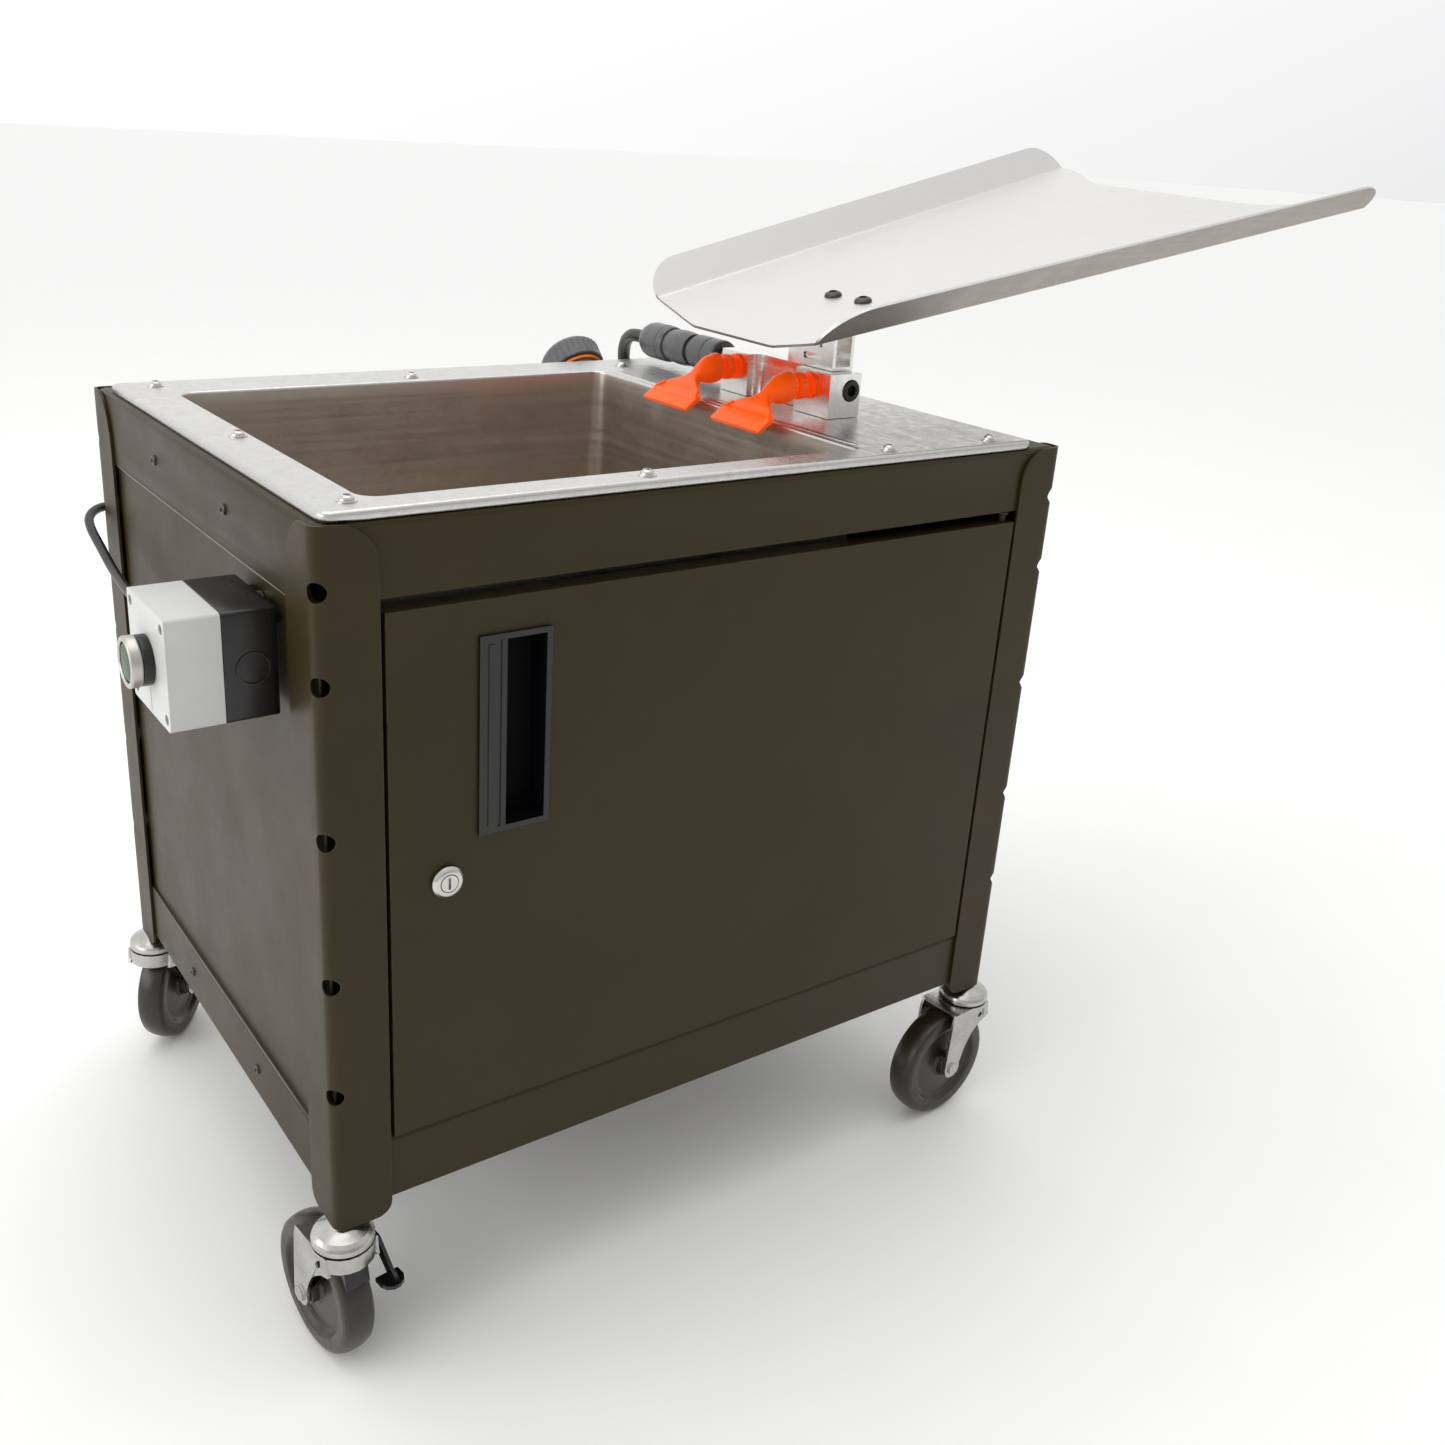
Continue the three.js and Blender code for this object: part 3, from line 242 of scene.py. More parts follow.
# A darker black for the handle's recess: painted shade, with a rougher surface.
RECESS_PAINTED_SHADE = finish_of("black_recess_painted_shade", 0x060605, 0.7, vary=0.05, grain=1100, relief=0.1, specular=0.1)
SATIN = finish_of("satin_nickel", 0xBEBBB4, 0.36, 1.0, vary=0.05, patch=120, gloss=0.05, smear=200,
    grain=1400, relief=0.08)
PALE = finish_of("light_grey_plastic", 0xC8C8C7, 0.40, vary=0.03, patch=35, gloss=0.05, grain=1000,
    edge=0.0007, wear_and_highlight_colour=0xF3F3F1)
JACKET = finish_of("cable_jacket", 0x1D1B19, 0.36, vary=0.14, patch=45, gloss=0.08, grain=600, relief=0.1)
HOSE = finish_of("hose_rubber", 0x2A2826, 0.40, vary=0.14, patch=45, gloss=0.08, grain=500, relief=0.14)
POLY = finish_of("natural_polyethylene", 0xD6D5C9, 0.5, vary=0.05, patch=12, gloss=0.06, grain=240,
    relief=0.15, depth=0.0006)
MOTOR = finish_of("motor_paint", 0x2C4A60, 0.34, vary=0.10, patch=30, grain=500, coat=0.2, edge=0.001,
    wear_and_highlight_colour=0x8FA0AC)
LENS = finish_of("green_lens", 0x1F4A36, 0.34, vary=0.10, patch=150, gloss=0.04, grain=700, relief=0.06,
    specular=0.25)
DARK_SCREW = finish_of("black_oxide", 0x4C4946, 0.30, 0.9, vary=0.15, patch=300, gloss=0.08, grain=1500,
    relief=0.1)

# ---- mesh helpers
SHOWN = bpy.context.scene.collection


def show(name, data):
    """A new object in the scene."""
    thing = bpy.data.objects.new(name, data)
    SHOWN.objects.link(thing)
    return thing


def join_frame(piece, body, nodes):
    """Rides the piece on its body and stands it for CAD nodes."""
    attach(piece, body)
    if nodes:
        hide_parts(*([nodes] if isinstance(nodes, str) else nodes))
    return piece


def reshape(mesh, change):
    """Edits a mesh through bmesh."""
    work = bmesh.new()
    work.from_mesh(mesh)
    change(work)
    work.to_mesh(mesh)
    work.free()
    return mesh


def shade(mesh, angle):
    """Smooth shading that stays crisp at edges sharper than the angle, in degrees."""
    def change(work):
        bmesh.ops.recalc_face_normals(work, faces=work.faces)
        for face in work.faces:
            face.smooth = True
        for edge in work.edges:
            edge.smooth = len(edge.link_faces) != 2 or edge.calc_face_angle(0) < radians(angle)
    reshape(mesh, change)


def place(name, verts, faces, finish, body, node=None, angle=35, slot=True):
    """A new piece from points in millimetres."""
    mesh = bpy.data.meshes.new(name)
    mesh.from_pydata([W(*v) for v in verts], [], faces)
    mesh.validate()
    mesh.materials.append(finish)
    shade(mesh, angle)
    return join_frame(show(name, mesh), body, node)


def bevel(piece, width, segments, angle):
    mod = piece.modifiers.new("bevel", "BEVEL")
    mod.width, mod.segments, mod.limit_method = width / 1000, segments, "ANGLE"
    mod.angle_limit, mod.harden_normals = radians(angle), True
    mod.use_clamp_overlap = True
    return piece


def bake(piece):
    """Applies the piece's modifiers."""
    bpy.context.view_layer.update()
    graph = bpy.context.evaluated_depsgraph_get()
    mesh = bpy.data.meshes.new_from_object(piece.evaluated_get(graph), depsgraph=graph)
    piece.modifiers.clear()
    piece.data = mesh
    return piece


def refine(node, finish, body, width, segments, angle):
    """Stands for a CAD node with the same shape and softened edges."""
    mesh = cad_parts[node].data.copy()
    mesh.name = node + "_finished"

    def merge(work):
        bmesh.ops.remove_doubles(work, verts=work.verts, dist=1e-6)
        bmesh.ops.dissolve_limit(work, angle_limit=radians(0.8), verts=work.verts, edges=work.edges)
    reshape(mesh, merge)
    mesh.materials.clear()
    mesh.materials.append(finish)
    shade(mesh, angle)
    return bevel(join_frame(show(mesh.name, mesh), body, node), width, segments, angle)


def second_finish(piece, finish, chosen):
    """Gives a second finish to the faces that a test picks."""
    piece.data.materials.append(finish)
    for face in piece.data.polygons:
        if chosen(face):
            face.material_index = 1


def rounded(profile, radius=0.6, steps=4, closed=False):
    """Rounds each corner of a line of points with a small arc."""
    pts = [Vector(p) for p in profile]
    out = []
    for i, p in enumerate(pts):
        if not closed and i in (0, len(pts) - 1):
            out.append(tuple(p))
            continue
        a, b = pts[i - 1] - p, pts[(i + 1) % len(pts)] - p
        if a.length < 1e-6 or b.length < 1e-6:
            continue
        half = a.angle(b, pi) / 2
        if half > radians(86):
            out.append(tuple(p))
            continue
        back = min(radius / tan(half), a.length * 0.48, b.length * 0.48)
        start, end = p + a.normalized() * back, p + b.normalized() * back
        for k in range(steps + 1):
            t = k / steps
            out.append(tuple(start.lerp(p, t).lerp(p.lerp(end, t), t)))
    return out


def turned(name, profile, at, direction, finish, body, node=None, segments=64, soft=0.6, closed=False,
        angle=38, slot=True, wave=None):
    """A round piece from [radius, height] pairs. wave(angle, radius, height) may change the radius."""
    line = rounded(profile, soft, 4, closed) if soft else list(profile)
    turn = Vector((0, 0, 1)).rotation_difference(Vector(direction).normalized())
    verts, rings = [], []
    for r, h in line:
        if r < 1e-6:
            rings.append([len(verts)])
            verts.append(Vector(at) + turn @ Vector((0, 0, h)))
            continue
        ring = []
        for a in around(segments):
            rr = wave(a, r, h) if wave else r
            ring.append(len(verts))
            verts.append(Vector(at) + turn @ Vector((rr * cos(a), rr * sin(a), h)))
        rings.append(ring)
    faces = []
    for a, b in list(zip(rings, rings[1:])) + ([(rings[-1], rings[0])] if closed else []):
        for k in range(segments):
            n = (k + 1) % segments
            quad = list(dict.fromkeys([a[k % len(a)], a[n % len(a)], b[n % len(b)], b[k % len(b)]]))
            if len(quad) > 2:
                faces.append(quad)
    return place(name, verts, faces, finish, body, node, angle, slot)


def loft(name, rings, finish, body, node=None, caps=(True, True), angle=35, closed=True, slot=True):
    """A skin over rings of equal length."""
    size = len(rings[0])
    verts = [p for ring in rings for p in ring]
    faces = []
    for i in range(len(rings) - 1):
        for k in range(size if closed else size - 1):
            n = (k + 1) % size
            faces.append([i * size + k, i * size + n, (i + 1) * size + n, (i + 1) * size + k])
    if caps[0]:
        faces.append(list(range(size)))
    if caps[1]:
        faces.append([(len(rings) - 1) * size + k for k in range(size)])
    return place(name, verts, faces, finish, body, node, angle, slot)


def thicken(piece, thickness, even=True):
    mod = piece.modifiers.new("sheet", "SOLIDIFY")
    mod.thickness, mod.offset, mod.use_even_offset = thickness / 1000, -1.0, even
    return piece


def plate(name, points, axis, low, high, finish, body, soft=0.4):
    """A flat outline swept along x or z, with softened edges. Its points are (y, z) or (x, y)."""
    def at(p, d):
        return (d, *p) if axis == "x" else (*p, d)
    size = len(points)
    verts = [at(p, low) for p in points] + [at(p, high) for p in points]
    faces = [list(range(size)), list(range(size, 2 * size))]
    faces += [[k, (k + 1) % size, (k + 1) % size + size, k + size] for k in range(size)]
    return bevel(place(name, verts, faces, finish, body, None, 30), soft, 2, 40)


def around(count):
    """Even angles round a circle."""
    return [2 * pi * k / count for k in range(count)]


def arc(cx, cy, rx, ry, start, end, steps):
    return [(cx + rx * cos(radians(start + (end - start) * i / steps)),
        cy + ry * sin(radians(start + (end - start) * i / steps))) for i in range(steps + 1)]


def corner_ring(x0, x1, y0, y1, radii, steps=8, side=6):
    """A rounded rectangle with a radius for each corner: front right, back right, back left, front left."""
    fr, br, bl, fl = radii
    corners = [(x1 - fr, y0 + fr, fr, -90), (x1 - br, y1 - br, br, 0), (x0 + bl, y1 - bl, bl, 90),
        (x0 + fl, y0 + fl, fl, 180)]
    points = []
    for i, (cx, cy, r, a) in enumerate(corners):
        bend = arc(cx, cy, r, r, a, a + 90, steps)
        points += bend
        x, y = bend[-1]
        nx, ny, nr, na = corners[(i + 1) % 4]
        dx, dy = nx + nr * cos(radians(na)) - x, ny + nr * sin(radians(na)) - y
        points += [(x + dx * (k / side), y + dy * (k / side)) for k in range(1, side)]
    return points


def hexed(a, flat):
    """The radius of a hexagon at an angle."""
    return flat / cos((a % (pi / 3)) - pi / 6)


def screw(name, at, direction, finish, head, rise, flange, socket):
    """A domed screw with a hexagon socket, with or without a flange."""
    seat, rim = (flange or head) / 2, 0.7
    profile = [(0.001, -0.3), (seat, -0.3), (seat, rim)]
    for a in (0, 18, 36, 54, 66):
        profile.append((head / 2 * cos(radians(a)), rim + (rise - rim) * sin(radians(a))))
    inner = [(socket, rise - 0.25), (socket * 0.96, rise - 1.6), (0.001, rise - 1.9)]

    def wave(a, r, h):
        return hexed(a, r) if r <= socket and h > 0 and r > 0.01 else r
    return turned(name, profile + inner, at, direction, finish, "root", None, 36, 0.12, angle=40, slot=None,
        wave=wave)


def bead(name, points, radius, finish, body):
    """A slim rounded bead along a line."""
    pts = [Vector(p) for p in points]
    rings = []
    for i, p in enumerate(pts):
        way = (pts[min(i + 1, len(pts) - 1)] - pts[max(i - 1, 0)]).normalized()
        side = way.cross(Vector((0, 0, 1))).normalized()
        up = side.cross(way)
        size = radius * (0.25 if i in (0, len(pts) - 1) else 1)
        rings.append([tuple(p + side * size * cos(a) + up * size * 0.6 * sin(a)) for a in around(10)])
    return loft(name, rings, finish, body, None, (True, True), 60)


# ---- cabinet
HALF_W, HALF_D, TOP = 304.8, 228.6, 609.6
CORNERS = {"front_left": (-1, -1), "front_right": (1, -1), "back_left": (-1, 1), "back_right": (1, 1)}
LEG_HOLES, SHELF_HOLE, HOLE_RADIUS = (571, 514, 414, 313, 230), 571, 6.2
DOOR_FACE = -228.3


def leg(name, sx, sy):
    """A formed angle: its developed strip is swept round the corner and thickened inward."""
    front, side, bend, bottom = 40.5, 43.0, 8.0, 123.0
    turn = bend * pi / 2

    def at(u, z):
        """u runs from the front flange edge, round the bend, to the side flange edge."""
        flat = front - bend
        if u <= flat:
            x, y = HALF_W - front + u, HALF_D
        elif u <= flat + turn:
            a = (u - flat) / bend
            x, y = HALF_W - bend + bend * sin(a), HALF_D - bend + bend * cos(a)
        else:
            x, y = HALF_W, HALF_D - bend - (u - flat - turn)
        return (sx * x, sy * y, z)

    width = front + side - 2 * bend + turn
    edges = [0, 0.6, 1.6, 3, 5, 8, 12, 17, 22, 27, front - bend]
    us = edges + [front - bend + turn * i / 8 for i in range(1, 9)]
    us += [width - u for u in reversed(edges[:-1])]

    def reach(u, length, top_drop, foot):
        """Highest and lowest point of the strip at a distance from its flange edge."""
        t = max(0.0, 1 - u / length)
        high = TOP - top_drop * (1 - sqrt(max(0.0, 1 - t * t)))
        f = max(0.0, 1 - u / foot)
        return bottom + foot * (1 - sqrt(max(0.0, 1 - f * f))), high

    rows, rings = 60, []
    for u in us:
        near_front = u < front
        gap = u if near_front else width - u
        low, high = reach(gap, 27, 25 if near_front else 44, 11)
        rings.append([at(u, low + (high - low) * k / rows) for k in range(rows + 1)])
    piece = loft("leg_sheet_" + name, rings, PAINT, "root", "leg_" + name, (False, False), 30, False)
    outward = Vector((sx, sy, 0))
    mesh = piece.data
    if mesh.polygons[len(mesh.polygons) // 2].normal.dot(outward) < 0:
        mesh.flip_normals()
    thicken(piece, 2.0)
    bake(piece)
    for z in LEG_HOLES:
        hole(piece, (sx * (HALF_W - 6), sy * (HALF_D - 6), z), (sx, sy, 0), HOLE_RADIUS, 24)
    bevel(piece, 0.45, 2, 40)
    corners = [(30, 2.3), (7, 2.3), (2.3, 7), (2.3, 30), (20, 30), (30, 20)]
    plate("foot_gusset_" + name, [(sx * (HALF_W - a), sy * (HALF_D - b)) for a, b in corners], "z", 124, 128,
        PAINT, "root")


def subtract(piece, mesh):
    """Cuts a closed mesh out of a piece."""
    tool = show("tool", mesh)
    mod = piece.modifiers.new("cut", "BOOLEAN")
    mod.operation, mod.object, mod.solver = "DIFFERENCE", tool, "EXACT"
    bake(piece)
    bpy.data.objects.remove(tool)


def hole(piece, at, direction, radius, length):
    """Drills a round hole."""
    turn = Vector((0, 0, 1)).rotation_difference(Vector(direction).normalized()).to_matrix().to_4x4()
    subtract(piece, reshape(bpy.data.meshes.new("drill"), lambda work: bmesh.ops.create_cone(work,
        cap_ends=True, segments=32, radius1=radius / 1000, radius2=radius / 1000, depth=length / 1000,
        matrix=Matrix.Translation(W(*at)) @ turn)))


def cabinet():
    for name, (sx, sy) in CORNERS.items():
        leg(name, sx, sy)
    for node in ("top_shelf", "bottom_shelf"):
        shelf = refine(node, PAINT, "root", 1.0, 3, 20)
        if node == "top_shelf":
            bake(shelf)
            for sx, sy in CORNERS.values():
                hole(shelf, (sx * (HALF_W - 8), sy * (HALF_D - 8), SHELF_HOLE), (sx, sy, 0), HOLE_RADIUS, 26)
    for node in ("side_panel_left", "side_panel_right", "back_panel"):
        refine(node, PAINT, "root", 0.4, 2, 30)
    refine("door", PAINT, "door", 1.6, 4, 30)
    for node in ("hinge_pin_upper", "hinge_pin_lower"):
        refine(node, PAINT, "root", 0.5, 3, 40)
    # The folded hems of the side aprons, in a lighter paint: a painted highlight along the aprons' lower
    # edges.
    for side in (-1, 1):
        for z in (556.4, 183.6):
            hem = [(side * 302.35, y, z) for y in range(-184, 185, 46)]
            bead(f"apron_hem_{'l' if side < 0 else 'r'}_{int(z)}", hem, 0.9, HEM_HIGHLIGHT, "root")
    # Screws on the side aprons and round the back panel.
    for side in (-1, 1):
        for y, z in ((-75, 583), (75, 583), (-76, 158), (76, 158)):
            screw(f"apron_screw_{'l' if side < 0 else 'r'}_{'f' if y < 0 else 'b'}_{z}",
                (side * (HALF_W - 2.4), y, z), (side, 0, 0), DARK_SCREW, 7.5, 2.2, 0, 1.5)
    for x in (-200, 0, 200):
        for z in (196, 548):
            screw(f"back_screw_{x + 200}_{z}", (x, 222.5, z), (0, 1, 0), DARK_SCREW, 7.5, 2.2, 0, 1.5)


def door_fittings():
    # The pull keeps its CAD shape. Its recess is rougher than its rim and painted darker: painted shade in
    # the pocket.
    front = W(0, DOOR_FACE + 3.8, 0).y
    second_finish(refine("door_handle", BLACK, "door", 0.2, 2, 35), RECESS_PAINTED_SHADE,
        lambda face: face.center.y > front)
    at = (-223, DOOR_FACE, 369)
    turned("lock_bezel", [(6.35, 5.0), (7.8, 5.0), (9.2, 4.5), (11, 2.6), (11, 0.3), (9, 0.3), (9, -15),
        (6.35, -15)], at, (0, -1, 0), NICKEL, "door", "lock_body", 72, 0.35, True)
    refine("lock_cylinder", NICKEL, "lock", 0.3, 2, 35)


cabinet()
door_fittings()


# ---- tank
DECK, DECK_TOP = (-297, 275, -225, 205), 616
BOWL_MOUTH = (-261, 118, -199, 151)
BOWL_CORNERS, BOWL_FLOOR, FLOOR_ROUND = (3, 10, 12, 13), 413, 14
DRAIN_X, DRAIN_Y, DRAIN_RADIUS = -72, -24, 22


def tank():
    """One skin from the folded skirt over the deck and the opening's rolled edge to the drain."""
    rings = []

    def ring(box, grow, radii, z):
        x0, x1, y0, y1 = box
        outline = corner_ring(x0 - grow, x1 + grow, y0 - grow, y1 + grow, radii, 8, 10)
        rings.append([(x, y, z) for x, y in outline])

    def deck_ring(inset, z):
        ring(DECK, -inset, (max(0.6, 8 - inset),) * 4, z)

    def bowl_ring(grow, z, soften=0.0):
        ring(BOWL_MOUTH, grow, [max(1.0, r + soften) + max(0, grow) for r in BOWL_CORNERS], z)

    for z in (609.9, 611.5, 613):
        deck_ring(0, z)
    for a in (20, 40, 60, 80, 90):
        deck_ring(3 - 3 * cos(radians(a)), 613 + 3 * sin(radians(a)))
    # Deck: blend from the outer outline to the opening's outline.
    outer, lip = [Vector(p) for p in rings[-1]], 2.2
    bowl_ring(lip, DECK_TOP)
    inner = [Vector(p) for p in rings.pop()]
    for t in (0.04, 0.12, 0.25, 0.4, 0.55, 0.7, 0.82, 0.92, 0.97, 1):
        rings.append([tuple(a.lerp(b, t)) for a, b in zip(outer, inner)])
    for a in (22, 45, 68, 90):
        bowl_ring(lip - lip * sin(radians(a)), DECK_TOP - lip * (1 - cos(radians(a))))
    wall, foot, ease = 613.8, BOWL_FLOOR + FLOOR_ROUND, 8
    for i in range(1, 13):
        t = i / 12
        bowl_ring(0, wall + (foot - wall) * t, ease * t)
    for a in range(10, 91, 10):
        back = FLOOR_ROUND * (1 - cos(radians(a)))
        z = foot - FLOOR_ROUND * sin(radians(a))
        ring(BOWL_MOUTH, -back, [max(1.5, r + ease - back) for r in BOWL_CORNERS], z)
    # Floor: a slight fall to the round drain hole.
    last = [Vector(p) for p in rings[-1]]
    drain = Vector((DRAIN_X, DRAIN_Y, BOWL_FLOOR))
    for t in (0.15, 0.35, 0.55, 0.75, 0.9, 1):
        loop = []
        for p in last:
            flat = Vector((p.x - drain.x, p.y - drain.y, 0))
            rim = drain + flat.normalized() * DRAIN_RADIUS
            loop.append(tuple(p.lerp(rim, t)))
        rings.append(loop)
    piece = loft("tank_shell", rings, STEEL, "root", "tank", (False, False), 50)
    low = W(0, 0, 613.6).z
    x0, x1, y0, y1 = BOWL_MOUTH
    left, front, _ = W(x0 - 1, y0 - 1, 0)
    right, behind, _ = W(x1 + 1, y1 + 1, 0)

    def in_bowl(face):
        x, y, z = face.center
        return z < low and left < x < right and front < y < behind
    # The bowl gets the warmer copy of the stainless: painted reflection.
    second_finish(piece, BOWL_PAINTED_REFLECTION, in_bowl)
    mesh = piece.data
    up = [f for f in mesh.polygons if abs(f.normal.z) > 0.99 and f.center.z > W(0, 0, 615.9).z]
    if sum(f.normal.z * f.area for f in up) < 0:
        mesh.flip_normals()
    thicken(piece, 1.5)
    spots = [(-268, 183), (-271, -15), (-273, -204), (-73, -213), (138, -211), (240, -211), (-61, 166),
        (151, 168)]
    for i, (x, y) in enumerate(spots):
        screw(f"deck_screw_{i + 1}", (x, y, DECK_TOP), (0, 0, 1), NICKEL, 9.4, 4.2, 12.4, 2.6)
    # A shallow pressed bead beside the opening's right edge.
    rows, over = [], [pi * k / 10 for k in range(11)]
    for y, size in ((-189, 0.05), (-187, 0.6), (-183, 1), (-100, 1), (0, 1), (100, 1), (141, 1), (146, 0.6),
            (148, 0.05)):
        rows.append([(127.5 + 4.2 * size * cos(a), y, 615.95 + 1.1 * size * sin(a)) for a in over])
    loft("deck_bead", rows, STEEL, "root", None, (False, False), 60, False)


def strainer():
    z = BOWL_FLOOR
    turned("strainer_body", [(12, -90), (14, -90), (14, -24), (20.5, -18), (20.5, -9.8), (29, -9.8),
        (29, -1.8), (21.5, -1.8), (21.5, 0.3), (29, 0.3), (28.4, 1.9), (26, 2.2), (18.6, 2.2), (18, 1.4),
        (18, -16), (12, -22)], (DRAIN_X, DRAIN_Y, z), (0, 0, 1), MILLED, "root", "drain_strainer", 72, 0.5,
        True, slot="stainless_steel")
    # A domed perforated basket lid sits in the mouth.
    rings, mouth = [], 17.4
    for r in (mouth, 15.5, 13.5, 11, 8.5, 6, 3.5, 1.2):
        dome = z - 3.2 + 2.6 * (1 - (r / mouth) ** 2)
        rings.append([(DRAIN_X + r * cos(a), DRAIN_Y + r * sin(a), dome) for a in around(48)])
    lid = loft("strainer_lid", rings, MILLED, "root", None, (False, True), 40, True, "stainless_steel")
    thicken(lid, 0.8)
    bake(lid)
    for count, r in ((1, 0), (6, 5), (12, 10), (16, 14.2)):
        for a in around(count):
            hole(lid, (DRAIN_X + r * cos(a), DRAIN_Y + r * sin(a), z - 1.5), (0, 0, 1), 1.15, 8)


tank()
strainer()


# ---- manifold, nozzles and coupling
def manifold():
    refine("manifold", MILLED, "root", 0.5, 3, 30)
    refine("manifold_plug", BLACK, "root", 0.4, 2, 40)
    refine("chute_bracket", MILLED, "root", 0.5, 2, 30)
    at, out = (191, 38, 637.5), (0, 1, 0)

    def nut(a, r, h):
        return hexed(a, 10.4) if 0.5 < h < 12.2 and r > 10 else r
    turned("inlet_fitting_turned", [(4, -12), (8, -12), (8, 0.3), (12, 0.6), (12, 11.4), (9, 12.6), (9, 14),
        (8.2, 14.6), (9, 15.3), (9, 25), (4, 25)], at, out, BRASS, "root", "inlet_fitting", 72, 0.25, True,
        wave=nut)

    def grip(a, r, h):
        return r - 0.5 * max(0, cos(24 * a)) ** 6 if 45 < h < 63 and r > 14 else r
    turned("coupler_socket", [(0.001, 64), (5, 62), (5, 26), (13, 26), (14.3, 26.8), (15, 29), (15, 42),
        (14.5, 42.6), (14.5, 44), (15, 44.6), (15, 63.6), (13.8, 65.8), (11.5, 67), (11.5, 104),
        (13.4, 104.2), (15.3, 105), (16.2, 108), (16.4, 111), (15.8, 111.6), (15.8, 113.4), (16.4, 114),
        (16.4, 134), (15.6, 138.4), (13.2, 143.4), (10.4, 144.8), (7.8, 147), (0.001, 147)], at, out, GREY,
        "root", "coupler_body", 144, 0.35, False, wave=grip)

    def knurl(a, r, h):
        return r - 0.4 * max(0, cos(36 * a)) ** 4 * max(0, cos(0.9 * h)) if 73 < h < 101 and r > 14 else r
    sleeve = [(11.8, 71), (14.2, 71), (14.4, 72.4)]
    sleeve += [(14.4 + 1.2 * sin(pi * k / 20), 72.4 + 28.8 * k / 20) for k in range(1, 20)]
    turned("coupler_sleeve", sleeve + [(14.4, 101.2), (14.2, 102.7), (11.8, 102.7)], at, out, GREY, "collar",
        "coupler_collar", 180, 0.15, True, wave=knurl)


